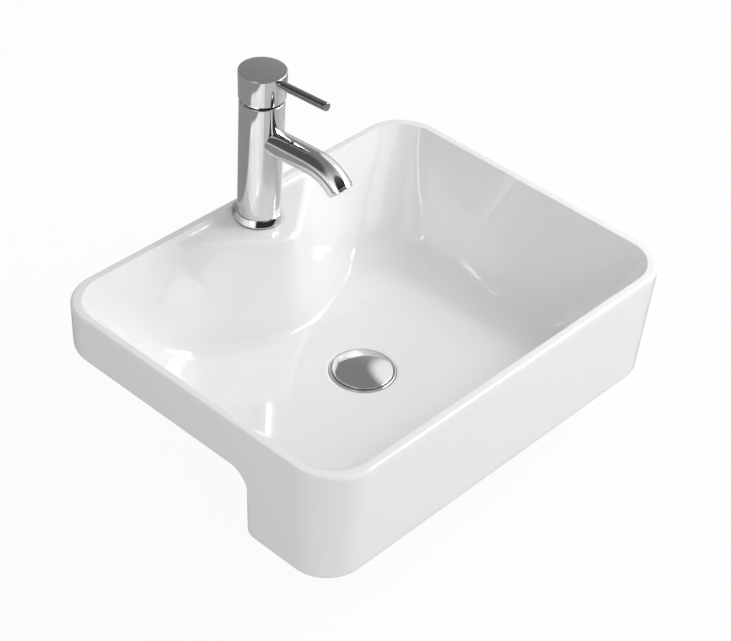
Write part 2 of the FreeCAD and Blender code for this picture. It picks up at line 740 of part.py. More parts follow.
BASE = "(cavity_floor + cartridge_seal)"
DISCS = "(cavity_floor + cartridge_seal + cartridge_base)"
MOVING = "(cavity_floor + cartridge_seal + cartridge_base + disc_thickness)"
CARRIER = "(cavity_floor + cartridge_seal + cartridge_base + 2 * disc_thickness)"
PORTS = (("-inlet_x", "inlet_y", "waterway"), ("inlet_x", "inlet_y", "waterway"), ("0", "-outlet_y", "outlet"))


def ported(label, radius, low, high):
    """A round plate with the two inlet ports and the outlet port."""
    body = turned(label, [("0", low), (radius, low), (radius, high), ("0", high)], TAP_AT)
    for x, y, port in PORTS:
        drilled(body, port, "20", (x, y, low + " - 5"))
    return body


def cartridge_seals():
    rings = []
    for number, (x, y, port) in enumerate(PORTS, start=1):
        at = (x, TAP + " + " + y, LEDGE + " + cavity_floor")
        rings.append(ring("port_seal_%d" % number, port, port + " + 1.5", "0", "cartridge_seal", at))
    group("cartridge_seals", *rings)


def cartridge():
    """The ceramic disc cartridge, from its seals up to the nut that holds it."""
    cartridge_seals()
    ported("cartridge_base", "cartridge", BASE, DISCS)
    ported("fixed_disc", "fixed_disc", DISCS, MOVING)
    moving = turned("moving_disc", [
        ("0", MOVING), ("moving_disc", MOVING), ("moving_disc", CARRIER), ("0", CARRIER),
    ], TAP_AT)
    drilled(moving, "spindle_ball + carrier_gap", "2 * ball_socket", ("0", "0", CARRIER + " - ball_socket"))
    inner = "cartridge - cartridge_wall"
    roof = "cartridge_top - cartridge_wall"
    turned("cartridge_housing", [
        (inner, DISCS), ("cartridge", DISCS), ("cartridge", "cartridge_top"),
        ("carrier_neck + carrier_gap", "cartridge_top"), ("carrier_neck + carrier_gap", roof), (inner, roof),
    ], TAP_AT)
    carrier = turned("cartridge_carrier", [
        ("0", CARRIER + " + carrier_gap"), (inner + " - carrier_gap", CARRIER + " + carrier_gap"),
        (inner + " - carrier_gap", roof + " - carrier_gap"), ("carrier_neck", roof + " - carrier_gap"),
        ("carrier_neck", "carrier_top"), ("0", "carrier_top"),
    ], TAP_AT)
    slot = rectangle("-spindle - carrier_gap", "spindle + carrier_gap", "-carrier_neck + 2", "carrier_neck - 2")
    slotted(carrier, "XY_Plane", slot)
    cross = carrier.newObject("PartDesign::SubtractiveCylinder", "cartridge_carrier_cross")
    cross.Placement = FreeCAD.Placement(FreeCAD.Vector(0, 0, 0), FreeCAD.Rotation(FreeCAD.Vector(0, 1, 0), 90))
    bind(place(cross, ("-cartridge", "0", "pivot_height")), Radius="pivot_pin + pin_gap", Height="2 * cartridge")
    carrier.Tip = cross
    ring("cartridge_nut", "nut_inner", "cavity - thread_gap", "cartridge_top", "body_height")


def pivot():
    """The pin that the spindle rocks on."""
    start = ("-carrier_neck + 0.5", TAP, LEDGE + " + pivot_height")
    pin = cylinder("pivot_pin", "pivot_pin", "2 * carrier_neck - 1", start)
    pin.Placement = FreeCAD.Placement(pin.Placement.Base, FreeCAD.Rotation(FreeCAD.Vector(0, 1, 0), 90))
    return pin


def spindle():
    """The square lever of the cartridge with the ball that drives the moving disc."""
    shaft = primitive(
        "Box", "spindle_shaft", ("-spindle", TAP + " - spindle", LEDGE + " + pivot_height - spindle_arm * 0.5"),
        Length="2 * spindle", Width="2 * spindle", Height="spindle_top - pivot_height + spindle_arm * 0.5",
    )
    neck = cylinder(
        "spindle_neck", "spindle_ball * 0.7", "spindle_arm * 0.6", ("0", TAP, LEDGE + " + pivot_height - spindle_arm")
    )
    ball = primitive("Sphere", "spindle_ball_end", ("0", TAP, LEDGE + " + pivot_height - spindle_arm"), Radius="spindle_ball")
    eye = cylinder(
        "spindle_eye", "pivot_pin + pin_gap", "4 * spindle", ("-2 * spindle", TAP, LEDGE + " + pivot_height")
    )
    eye.Placement = FreeCAD.Placement(eye.Placement.Base, FreeCAD.Rotation(FreeCAD.Vector(0, 1, 0), 90))
    cut("cartridge_spindle", joined("spindle_solid", shaft, neck, ball), eye)


def dome():
    """The dome that closes the gap under the lever hub: part of a shell about the pivot."""
    centre = ("0", TAP, LEDGE + " + pivot_height")
    outside = primitive("Sphere", "dome_outside", centre, Radius="dome")
    inside = primitive("Sphere", "dome_inside", centre, Radius="dome - dome_wall")
    band = cylinder("dome_band", "2 * dome", "dome_top - body_height", ("0", TAP, LEDGE + " + body_height"))
    common("cover_dome", cut("dome_shell", outside, inside), band)


# ---------------------------------------------------------------- lever

def lever_hub():
    """The cup that turns and rocks on the tap body and carries the lever."""
    hub = turned("lever_hub", [
        ("0", "hub_ceiling"), ("hub_inner", "hub_ceiling"), ("hub_inner", "hub_bottom"), ("hub_foot", "hub_bottom"),
        ("hub_crown", "hub_top - hub_chamfer"), ("hub_crown - hub_chamfer", "hub_top"), ("0", "hub_top"),
    ], TAP_AT)
    half = "spindle + socket_gap"
    box = hub.newObject("PartDesign::SubtractiveBox", "lever_hub_socket")
    place(box, ("-(%s)" % half, "-(%s)" % half, "hub_ceiling - 1"))
    bind(box, Length="2 * (%s)" % half, Width="2 * (%s)" % half, Height="spindle_top - hub_ceiling + 1 + socket_gap")
    hub.Tip = box
    drilled(hub, "lever_pin + lever_gap", "hub_crown", LEVER_BORE, "lever_tilt")
    drilled(hub, "lever_thread + lever_gap", "hub_crown", THREAD_BORE, "lever_tilt")
    drilled(hub, "screw_radius + lever_gap", "hub_crown * 1.2", ("0", "hub_crown * 1.2", "screw_height"), "90")
    drilled(hub, "plug_radius + lever_gap", "plug_depth + 3", ("0", "hub_crown + 2.4", "screw_height"), "90")
    return hub


LEVER_BORE = ("0", "-lever_root", "lever_root_height")
THREAD_BORE = ("0", "-lever_root + (lever_thread_length + lever_gap) * sin(lever_tilt)",
               "lever_root_height - (lever_thread_length + lever_gap) * cos(lever_tilt)")


def lever():
    """The pin lever, and the set screw and index plug behind it."""
    end = "lever_length"
    pin = turned("lever_pin", [
        ("0", "-lever_thread_length"), ("lever_thread", "-lever_thread_length"), ("lever_thread", "lever_gap"),
        ("lever_pin", "lever_gap"), ("lever_pin", end + " - lever_chamfer"),
        ("lever_pin - lever_chamfer", end), ("0", end),
    ], ("0", TAP + " - lever_root", LEDGE + " + lever_root_height"))
    leaned(pin, "lever_tilt")
    screw = cylinder(
        "set_screw", "screw_radius", "screw_length",
        ("0", TAP + " + spindle + screw_length", LEDGE + " + screw_height"),
    )
    screw.Placement = FreeCAD.Placement(screw.Placement.Base, FreeCAD.Rotation(FreeCAD.Vector(1, 0, 0), 90))
    cover = cylinder(
        "index_plug", "plug_radius", "plug_depth", ("0", TAP + " + hub_crown - 0.5", LEDGE + " + screw_height")
    )
    cover.Placement = FreeCAD.Placement(cover.Placement.Base, FreeCAD.Rotation(FreeCAD.Vector(1, 0, 0), 90))


# ---------------------------------------------------------------- spout end

def at_spout_tip(along):
    """A place on the spout's axis, a distance back from its end."""
    return (
        "0", TAP + " + " + SPOUT_TIP[0] + " + (%s) * cos(spout_drop)" % along,
        LEDGE + " + " + SPOUT_TIP[1] + " + (%s) * sin(spout_drop)" % along,
    )


def aerator():
    """The screwed housing, its jet plate and its seal, each turned about the spout's end."""
    at = at_spout_tip("0")
    inner = "aerator - aerator_wall"
    housing = turned("aerator_housing", [
        (inner, "-aerator_depth"), ("aerator", "-aerator_depth"), ("aerator", "lip_gap"),
        ("aerator_lip_radius", "lip_gap"),
        ("aerator_lip_radius", "aerator_lip - 0.5"), ("aerator_lip_radius - 0.5", "aerator_lip"),
        (inner + " - 0.6", "aerator_lip"), (inner + " - 0.6", "0"), (inner, "0"),
    ], at)
    leaned(housing, "90 + spout_drop")
    plate = turned("aerator_insert", [
        ("0", "-aerator_depth"), (inner + " - 0.05", "-aerator_depth"), (inner + " - 0.05", "0"), ("0", "0"),
    ], at)
    jet = drilled(plate, "jet", "3 * aerator_depth", ("jet_ring", "0", "-2 * aerator_depth"))
    doc.recompute()
    jets = plate.newObject("PartDesign::PolarPattern", "aerator_jets")
    jets.Originals = [jet]
    jets.Axis = (plane(plate, "Z_Axis"), [""])
    bind(jets, Occurrences="jet_count")
    plate.Tip = jets
    leaned(plate, "90 + spout_drop")
    seal = ring("aerator_seal", inner, "aerator", "-aerator_depth - aerator_seal", "-aerator_depth", at)
    leaned(seal, "90 + spout_drop")


# ---------------------------------------------------------------- waste

WASTE_AT = ("0", "0", FLANGE)


def waste_body():
    """The flanged tail."""
    turned("waste_body", [
        ("tail_bore", "-tail_length"), ("tail - 1", "-tail_length"), ("tail", "-tail_length + 1"),
        ("tail", "-tail_groove - tail_groove_width"), ("tail - tail_groove_depth", "-tail_groove - tail_groove_width"),
        ("tail - tail_groove_depth", "-tail_groove"), ("tail", "-tail_groove"), ("tail", "-flange_thickness"),
        ("flange", "-flange_thickness"), ("flange", "-0.6"), ("flange - 0.6", "0"), ("cap_recess", "0"),
        ("cap_recess", "-cap_recess_depth"), ("tail_bore + 2", "-cap_recess_depth"),
        ("tail_bore", "-cap_recess_depth - 2"),
    ], WASTE_AT)


def waste_cross():
    """The cross in the tail, whose boss carries the click unit."""
    low = FLANGE + " - boss_top - boss_height"
    across = primitive(
        "Box", "cross_bar_across", ("-tail_bore", "-arm_width / 2", low),
        Length="2 * tail_bore", Width="arm_width", Height="boss_height - arm_drop",
    )
    along = primitive(
        "Box", "cross_bar_along", ("-arm_width / 2", "-tail_bore", low),
        Length="arm_width", Width="2 * tail_bore", Height="boss_height - arm_drop",
    )
    boss = cylinder("cross_boss", "boss", "boss_height", ("0", "0", low))
    space = cylinder("cross_space", "tail_bore - thread_gap", "boss_height", ("0", "0", low))
    bore = cylinder("cross_bore", "click_housing + thread_gap", "boss_height", ("0", "0", low))
    cut("waste_cross", common("cross_form", joined("cross_blank", across, along, boss), space), bore)


def waste_seals():
    seal_low = "-flange_thickness - waste_seal"
    ring("waste_top_seal", "waste_hole", "flange - 0.5", seal_low, "-flange_thickness", WASTE_AT)
    under = ("0", "0", UNDERSIDE)
    ring("waste_under_seal", "tail + 0.3", "under_seal", "-under_seal_height", "0", under)
    washer_low = "-under_seal_height - slip_washer"
    ring("waste_slip_washer", "tail + 0.3", "under_seal - 1", washer_low, "-under_seal_height", under)
    nut_at = ("0", "0", UNDERSIDE + " - under_seal_height - slip_washer - back_nut_height")
    blank = primitive("Prism", "waste_nut_blank", nut_at, Circumradius="back_nut", Height="back_nut_height")
    hole = cylinder("waste_nut_hole", "tail + thread_gap", "back_nut_height", nut_at)
    cut("waste_back_nut", blank, hole)


def click_plug():
    """The domed cap on its stem, the barrel it slides in and the spring below it."""
    low = "cap_seal - cap_recess_depth"
    edge = low + " + cap_edge"
    crown = "(%s + cap_rise)" % edge
    sphere_radius = "(cap * cap + cap_rise * cap_rise) / (2 * cap_rise)"
    ball = primitive("Sphere", "cap_ball", ("0", "0", FLANGE + " + %s - %s" % (crown, sphere_radius)), Radius=sphere_radius)
    dome_part = doc.addObject("Part::Common", "cap_dome")
    dome_part.Base = ball
    dome_part.Tool = cylinder("cap_band", "cap", "cap_rise + 5", ("0", "0", FLANGE + " + " + edge))
    doc.recompute()
    rim = cylinder("cap_rim", "cap", "cap_edge", ("0", "0", FLANGE + " + " + low))
    under = cylinder("cap_under", "cap - cap_wall - 6", "cap_edge", ("0", "0", FLANGE + " + " + low))
    socket = cylinder("cap_socket", "stem + 2", "cap_edge", ("0", "0", FLANGE + " + " + low))
    shell = cut("cap_shell", joined("cap_solid", dome_part, rim), under)
    joined("plug_cap", shell, socket)
    ring("plug_seal", "cap - cap_wall - 5.5", "cap - 1", "-cap_recess_depth", low, WASTE_AT)
    turned("click_stem", [
        ("0", "-stem_bottom"), ("stem_piston", "-stem_bottom"), ("stem_piston", "-stem_bottom + stem_piston_height"),
        ("stem", "-stem_bottom + stem_piston_height"), ("stem", low), ("0", low),
    ], WASTE_AT)
    turned("click_housing", [
        ("0", "-click_bottom"), ("click_housing", "-click_bottom"), ("click_housing", "-boss_top + 2"),
        ("click_bore", "-boss_top + 2"), ("click_bore", "-click_bottom + click_floor"),
        ("0", "-click_bottom + click_floor"),
    ], WASTE_AT)
    click_spring()


def click_spring():
    """The compression spring between the stem's piston and the housing's closed end."""
    height = where("click_bottom - click_floor - stem_bottom - 2 * spring_wire")
    radius = where("spring_radius")
    helix = Part.makeHelix(height / where("spring_turns"), height, radius)
    section = Part.Wire(Part.makeCircle(where("spring_wire"), FreeCAD.Vector(radius, 0, 0), FreeCAD.Vector(0, 1, 0)))
    spring = doc.addObject("Part::Feature", "click_spring")
    spring.Shape = Part.Wire(helix).makePipeShell([section], True, True)
    place(spring, ("0", "0", FLANGE + " - click_bottom + click_floor + spring_wire"))


# ---------------------------------------------------------------- the whole part

NODES = (
    "basin_rim", "basin_bowl", "basin_skirt", "tap_base_seal", "tap_base_ring", "tap_body",
    "cartridge_seals", "cartridge_base", "fixed_disc", "moving_disc", "cartridge_housing",
    "cartridge_carrier", "cartridge_nut", "pivot_pin", "cartridge_spindle", "cover_dome", "lever_hub",
    "lever_pin", "set_screw", "index_plug", "aerator_housing", "aerator_insert", "aerator_seal",
    "mounting_stud", "horseshoe_washer", "horseshoe_plate", "mounting_nut", "waste_body", "waste_cross", "waste_top_seal",
    "waste_under_seal", "waste_slip_washer", "waste_back_nut", "plug_cap", "plug_seal", "click_stem",
    "click_housing", "click_spring",
)


def export():
    """Writes each sub-part once the whole document stands."""
    doc.recompute()
    for thing in doc.Objects:
        failed = [state for state in thing.State if state in ("Invalid", "Error")]
        assert not failed, "%s did not rebuild" % thing.Label
    os.makedirs("parts", exist_ok=True)
    for name in NODES:
        shape = doc.getObjectsByLabel(name)[0].Shape
        assert not shape.isNull() and shape.isValid(), name + " is not a sound solid"
        shape.exportStep("parts/%s.step" % name)
        box = shape.BoundBox
        print("%-20s %2d %12.1f  %s" % (name, len(shape.Solids), shape.Volume, [round(v, 2) for v in (
            box.XMin, box.YMin, box.ZMin, box.XMax, box.YMax, box.ZMax)]))


basin()
tap_foot()
tap_body()
tap_fixing()
cartridge()
pivot()
spindle()
dome()
lever_hub()
lever()
aerator()
waste_body()
waste_cross()
waste_seals()
click_plug()
export()
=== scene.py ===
# %% [markdown]
# # A semi recessed basin with its tap and waste
# This lesson dresses a wash basin that stands half in and half out of a worktop. The solids come
# from the CAD model, in metres, and every piece below is made in that same frame: the waste's axis
# is at x = 0, y = 0, the worktop is at z = 0, the user stands at -y and the wall is at +y.

# %% Load the frame
import bpy
import bmesh
import json
import math
import numpy as np
from mathutils import Matrix, Vector


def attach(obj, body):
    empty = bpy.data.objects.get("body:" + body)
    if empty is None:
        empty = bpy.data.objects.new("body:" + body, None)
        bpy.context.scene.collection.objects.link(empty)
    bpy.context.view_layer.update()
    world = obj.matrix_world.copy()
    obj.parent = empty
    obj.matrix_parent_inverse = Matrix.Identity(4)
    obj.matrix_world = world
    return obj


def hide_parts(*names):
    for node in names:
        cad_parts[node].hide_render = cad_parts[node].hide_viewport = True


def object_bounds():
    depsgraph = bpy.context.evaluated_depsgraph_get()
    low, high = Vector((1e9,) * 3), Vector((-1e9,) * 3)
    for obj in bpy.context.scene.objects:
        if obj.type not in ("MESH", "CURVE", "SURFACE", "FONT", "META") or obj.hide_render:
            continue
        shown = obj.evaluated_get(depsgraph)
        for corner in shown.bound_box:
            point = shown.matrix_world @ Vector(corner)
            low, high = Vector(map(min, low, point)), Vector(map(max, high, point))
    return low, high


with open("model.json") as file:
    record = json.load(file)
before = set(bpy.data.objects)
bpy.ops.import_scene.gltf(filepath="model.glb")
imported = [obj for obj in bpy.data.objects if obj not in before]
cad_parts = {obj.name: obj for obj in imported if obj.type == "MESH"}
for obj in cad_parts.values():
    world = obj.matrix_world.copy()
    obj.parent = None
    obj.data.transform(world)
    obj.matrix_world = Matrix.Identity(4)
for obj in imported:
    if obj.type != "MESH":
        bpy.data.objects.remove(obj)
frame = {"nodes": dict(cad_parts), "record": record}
cad_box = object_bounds()
MM = 0.001
print("nodes:", len(frame["nodes"]))

# %% [markdown]
# ## The camera
# The photograph was taken with a long lens from the front left and from well above. Its angle, its
# distance and a slight roll were worked out from the rim's four sides, so the camera is placed by
# those numbers. The roll turns the camera about its own line of sight.

# %% Camera
scene = bpy.context.scene
scene.view_settings.view_transform = "Standard"
AZIMUTH = math.radians(-49.04)
ELEVATION = math.radians(38.36)
DISTANCE = 1.999
ROLL = 0.0683
FOCUS_PX = 2066.0
PHOTO_WIDTH = 731
TARGET = Vector((4.56, 4.73, -4.54)) * MM

towards = Vector((
    math.sin(AZIMUTH) * math.cos(ELEVATION),
    -math.cos(AZIMUTH) * math.cos(ELEVATION),
    math.sin(ELEVATION),
))
lens = bpy.data.cameras.new("studio_camera")
lens.sensor_width = 36.0
lens.sensor_fit = "HORIZONTAL"
lens.lens = FOCUS_PX / PHOTO_WIDTH * lens.sensor_width
lens.clip_end = 50.0
camera = bpy.data.objects.new("studio_camera", lens)
scene.collection.objects.link(camera)
turn = towards.to_track_quat("Z", "Y").to_matrix().to_4x4()
camera.matrix_world = Matrix.Translation(TARGET + towards * DISTANCE) @ turn @ Matrix.Rotation(ROLL, 4, "Z")
scene.camera = camera
print("lens:", round(lens.lens, 1), "mm")

# %% [markdown]
# ## Small helpers
# A mesh can be built straight from lists of points and faces. `mesh_piece` does that, welds points
# that coincide, and turns the normals outwards. `grid_faces` joins a grid of points with four-sided
# faces, and the grid may close on itself both ways, as a ring does. `crisp` keeps real edges sharp
# where the shading is smooth. Every object sits at the origin, with its shape in the mesh alone.

# %% Mesh helpers
WELD = 1e-7
SHARP_ANGLE, GLAZE_ANGLE = 32.0, 50.0


def mesh_piece(name, points, faces, smooth=True):
    """A new object from points in metres and faces that name them by number."""
    mesh = bpy.data.meshes.new(name)
    mesh.from_pydata([tuple(p) for p in points], [], [tuple(f) for f in faces])
    mesh.validate()
    made = bmesh.new()
    made.from_mesh(mesh)
    bmesh.ops.remove_doubles(made, verts=made.verts, dist=WELD)
    bmesh.ops.recalc_face_normals(made, faces=made.faces)
    made.to_mesh(mesh)
    made.free()
    if smooth:
        mesh.shade_smooth()
    else:
        mesh.shade_flat()
    piece = bpy.data.objects.new(name, mesh)
    scene.collection.objects.link(piece)
    return piece


def grid_faces(rows, columns, close_rows=False, close_columns=False):
    """Four-sided faces for points that stand in rows."""
    faces = []
    for i in range(rows if close_rows else rows - 1):
        for j in range(columns if close_columns else columns - 1):
            k = (i + 1) % rows
            m = (j + 1) % columns
            faces.append((i * columns + j, i * columns + m, k * columns + m, k * columns + j))
    return faces


def crisp(piece, degrees=SHARP_ANGLE):
    """Marks edges sharper than an angle, so that smooth shading stops at them."""
    made = bmesh.new()
    made.from_mesh(piece.data)
    for edge in made.edges:
        edge.smooth = len(edge.link_faces) != 2 or edge.calc_face_angle(0.0) < math.radians(degrees)
    made.to_mesh(piece.data)
    made.free()
    return piece


# %% [markdown]
# ## The bowl as a formula
# The basin is the main piece, and its glaze shows every bump, so its surface is worked out from a
# formula and not modelled by hand. Each wall, the floor and the ledge is a signed distance, which is
# negative in the open bowl and positive in the ceramic. Taking the larger of two distances joins
# them with a crease. Taking it smoothly joins them with a fillet, which is what glaze does.
# The ledge that carries the tap stands into the bowl like the bow of a boat: narrow and steep at the
# top, wide and blunt at the floor. A hyperbola has that outline at every height, so the ledge needs
# only its values at the top and at the foot.

# %% Sizes of the basin, in millimetres
HALF, FRONT, BACK, RIM = 240.3, -185.8, 179.9, 53.0
DEEP, SHALLOW = -74.0, 0.0
FLOOR, DISH, DISH_RADIUS = -60.0, 2.0, 74.0
LEDGE_TOP, TAP_Y = 46.0, 149.0
RIM_WALL, SKIRT_WALL, BOWL_WALL, FLOOR_WALL, LEDGE_WALL = 9.0, 11.0, 9.0, 12.0, 12.0
DEPTH = RIM - FLOOR
SIDE_LEAN, FRONT_LEAN, BACK_LEAN = 61.0 / DEPTH, 29.0 / DEPTH, 38.0 / DEPTH
DRAIN, FLANGE_SEAT, FLANGE_RECESS = 23.0, -64.5, 33.5
CORNER_TOP, CORNER_FOOT, BOWL_FOOT = 38.0, 64.0, 28.0
RIM_ROUND, LEDGE_EDGE, LEDGE_UNDER_EDGE, HOLLOW_ROUND = 4.5, 6.0, 3.0, 5.0
TAP_SEAT, TAP_SEAT_RISE = 25.4, 3.2
# The ledge's front at its top and at the floor: how far back, how steep in plan and how blunt.
NOSE_PLACE, NOSE_SLOPE, NOSE_WIDTH = (101.5, 86.5), (0.85, 0.57), (15.0, 52.0)
# The fold between the ledge and the bowl: its radius, and between which heights it changes.
FOLD_TOP, FOLD_MIDDLE, FOLD_FOOT = 4.0, 26.0, 8.0
FOLD_OPENS, FOLD_CLOSES = (30.0, -10.0), (-22.0, -52.0)


def larger(a, b, radius):
    """The larger of two distances, with a fillet of a radius where they are alike."""
    u = np.maximum(a + radius, 0.0)
    v = np.maximum(b + radius, 0.0)
    round_part = np.sqrt(u * u + v * v) - radius
    return np.where((a > -radius) & (b > -radius), round_part, np.maximum(a, b))


def smaller(a, b, radius):
    """The smaller of two distances, joined by a fillet in the same way."""
    return -larger(-a, -b, radius)


def ease(x):
    """Goes from 0 to 1 with a soft start and a soft end."""
    x = np.clip(x, 0.0, 1.0)
    return x * x * (3.0 - 2.0 * x)


def between(ends, share):
    """A value part of the way from one end to the other."""
    return ends[0] + (ends[1] - ends[0]) * share


def eased(ends, z):
    """How far a height has gone down from one end of a stretch to the other, from 0 to 1."""
    return ease((ends[0] - z) / (ends[0] - ends[1]))


def ledge_side(x, y, z, inset):
    """Distance outside the tap ledge, whose front is a hyperbola that opens as it goes down."""
    down = np.clip((LEDGE_TOP - z) / (LEDGE_TOP - FLOOR), 0.0, 1.0)
    front, slope, width = [between(ends, down) for ends in (NOSE_PLACE, NOSE_SLOPE, NOSE_WIDTH)]
    arm = np.hypot(x, width)
    edge = front + slope * (arm - width)
    return (edge - y) / np.hypot(1.0, slope * x / arm) + inset


def ceramic(x, y, z, wall=0.0, floor=0.0, ledge=0.0):
    """Distance inside the ceramic from the bowl's face, which wall, floor and ledge move outwards."""
    up = RIM - z
    side = (np.abs(x) - (HALF - RIM_WALL) + SIDE_LEAN * up) / math.hypot(1.0, SIDE_LEAN) - wall
    front = (-y + (FRONT + RIM_WALL) + FRONT_LEAN * up) / math.hypot(1.0, FRONT_LEAN) - wall
    back = (y - (BACK - RIM_WALL) + BACK_LEAN * up) / math.hypot(1.0, BACK_LEAN) - wall
    corner = between((CORNER_TOP, CORNER_FOOT), ease(up / DEPTH)) + wall
    walls = larger(side, np.maximum(front, back), corner)
    above = z - (LEDGE_TOP - ledge)
    stand = larger(ledge_side(x, y, z, ledge), above, LEDGE_EDGE if ledge == 0.0 else LEDGE_UNDER_EDGE)
    out_of_dish = ease((np.hypot(x, y) - FLANGE_RECESS) / (DISH_RADIUS - FLANGE_RECESS))
    bottom = FLOOR - floor - DISH * (1.0 - out_of_dish)
    bowl = larger(walls, bottom - z, BOWL_FOOT + wall)
    fold = FOLD_TOP + (FOLD_MIDDLE - FOLD_TOP) * eased(FOLD_OPENS, z)
    fold = fold + (FOLD_FOOT - FOLD_MIDDLE) * eased(FOLD_CLOSES, z)
    return larger(bowl, -stand, fold + 0.5 * ledge)


SEARCH, HALVINGS = 90.0, 34


def height(x, y, **offsets):
    """The height where the distance is nought, by halving."""
    low = np.full_like(x, -SEARCH)
    high = np.full_like(x, SEARCH)
    for _ in range(HALVINGS):
        middle = 0.5 * (low + high)
        solid = ceramic(x, y, middle, **offsets) > 0.0
        low = np.where(solid, middle, low)
        high = np.where(solid, high, middle)
    return 0.5 * (low + high)


def top_height(x, y):
    """The glazed top: the bowl, the rim's rounded inner edge and the flat seat of the tap."""
    z = smaller(height(x, y), np.full_like(x, RIM), RIM_ROUND)
    from_tap = np.hypot(x, y - TAP_Y)
    return np.minimum(z, LEDGE_TOP + TAP_SEAT_RISE * np.maximum(from_tap - TAP_SEAT, 0.0))


def under_height(x, y):
    """The underside of the bowl and of the ledge, and the hollow's ceiling beside them."""
    bowl = height(x, y, wall=BOWL_WALL, floor=FLOOR_WALL - DISH, ledge=LEDGE_WALL)
    return smaller(bowl, np.full_like(x, LEDGE_TOP - LEDGE_WALL), HOLLOW_ROUND)


probes = top_height(np.array([0.0, 60.0, 0.0]), np.array([40.0, -60.0, 140.0]))
print("heights in the bowl and on the ledge:", np.round(probes, 1))

# %% [markdown]
# ## Stations round the rim
# The whole basin is one closed skin. A station is a point on the rim's outline, and at each station a
# line runs from the drain across the floor, up the wall, over the rim, down the outside and back
# under the bowl to the drain. Stations stand closer at the corners, at the step and behind the tap.

# %% Stations
CORNER = 46.5
STEP, HOLLOW, NOSE, LOWER_EDGE = -77.0, 18.0, 10.0, 6.0
STEP_START, STEP_END = STEP - NOSE, STEP + HOLLOW
BEHIND_TAP = 34.0


def arc(cx, cy, radius, first, last, count):
    """Points round an arc, without its last one."""
    turns = np.radians(np.linspace(first, last, count + 1)[:-1])
    return [(cx + radius * math.cos(t), cy + radius * math.sin(t)) for t in turns]


def straight(start, end, count):
    """Points along a straight line, without its last one."""
    share = np.linspace(0.0, 1.0, count + 1)[:-1]
    return [(start[0] + (end[0] - start[0]) * s, start[1] + (end[1] - start[1]) * s) for s in share]


def half_outline():
    """From the middle of the front, up the right side, to the middle of the back."""
    x, y0, y1 = HALF, FRONT, BACK
    points = straight((0.0, y0), (x - CORNER, y0), 44)
    points += arc(x - CORNER, y0 + CORNER, CORNER, -90.0, 0.0, 26)
    points += straight((x, y0 + CORNER), (x, STEP_START - 1.0), 14)
    points += straight((x, STEP_START - 1.0), (x, STEP_END + 1.0), 28)
    points += straight((x, STEP_END + 1.0), (x, y1 - CORNER), 34)
    points += arc(x - CORNER, y1 - CORNER, CORNER, 0.0, 90.0, 26)
    points += straight((x - CORNER, y1), (BEHIND_TAP, y1), 40)
    points += straight((BEHIND_TAP, y1), (0.0, y1), 24)
    return points + [(0.0, y1)]


right = half_outline()
outline = np.array(right + [(-x, y) for x, y in reversed(right[1:-1])])


def outward(points):
    """Unit normals of the outline, exact on its sides and corners."""
    x, y = points[:, 0], points[:, 1]
    nx = x - np.clip(x, CORNER - HALF, HALF - CORNER)
    ny = y - np.clip(y, FRONT + CORNER, BACK - CORNER)
    nx = np.where(np.isclose(y, BACK) | np.isclose(y, FRONT), 0.0, nx)
    ny = np.where(np.isclose(np.abs(x), HALF), 0.0, ny)
    size = np.hypot(nx, ny)
    return nx / size, ny / size


normal_x, normal_y = outward(outline)
print("stations:", len(outline))

# %% [markdown]
# ## The step in the skirt
# The front of the basin is deep and hangs before the cabinet, and the rear is shallow and rests on
# the worktop. Between them is the step. Its side view is a soft hollow, an upright and a nose, and
# stations in that stretch end on it. Each station gets the point where its skirt ends, and the
# direction in which the skirt runs out there.

# %% Lower edge of the skirt
def step_profile(share):
    """(y, z, direction y, direction z) along the step, from its nose to its hollow."""
    upright = -HOLLOW - (DEEP + NOSE)
    nose_run, hollow_run = NOSE * math.pi / 2, HOLLOW * math.pi / 2
    run = share * (nose_run + upright + hollow_run)
    if run <= nose_run:
        sine, cosine = math.sin(run / NOSE), math.cos(run / NOSE)
        return STEP - NOSE + NOSE * sine, DEEP + NOSE - NOSE * cosine, sine, -cosine
    if run <= nose_run + upright:
        return STEP, DEEP + NOSE + run - nose_run, 1.0, 0.0
    turned = (run - nose_run - upright) / HOLLOW
    sine, cosine = math.sin(turned), math.cos(turned)
    return STEP + HOLLOW * (1 - cosine), -HOLLOW + HOLLOW * sine, cosine, -sine


# Each row is (y, z, direction y, direction z, 1 on the step or 0 beside it).
bottoms = []
for (x, y), nx in zip(outline, normal_x):
    if abs(nx) > 0.999 and STEP_START <= y <= STEP_END:
        share = (y - STEP_START) / (STEP_END - STEP_START)
        bottoms.append(step_profile(float(share)) + (1.0,))
    elif y < STEP_START:
        bottoms.append((y, DEEP, 0.0, -1.0, 0.0))
    else:
        bottoms.append((y, SHALLOW, 0.0, -1.0, 0.0))
bottoms = np.array(bottoms)
print("stations on the step:", int(bottoms[:, 4].sum()))

# %% [markdown]
# ## The closed skin
# The outer wall leans in a little on its way down, so that the cast basin can leave its mould. It
# leans more at the front than at the sides, and not at all at the back. Every station's line has the
# same number of points, so the lines join into one grid of four-sided faces that closes both round
# the rim and round the section. A glossy face shows any uneven step between points, so the long lines
# are worked out finely first and then taken again at even steps, which are shorter where they bend.

# %% Lines with even steps
SIDE_DRAFT, FRONT_DRAFT = 6.0, 6.7
BEND_WEIGHT, BEND_SPREAD = 34.0, 9


def drawn_in(nx, ny, z):
    """How far the outer wall has leaned in at a height."""
    lean = nx * nx * SIDE_DRAFT + np.where(ny < 0, ny * ny * FRONT_DRAFT, 0.0)
    return lean * (RIM - z) / (RIM - DEEP)


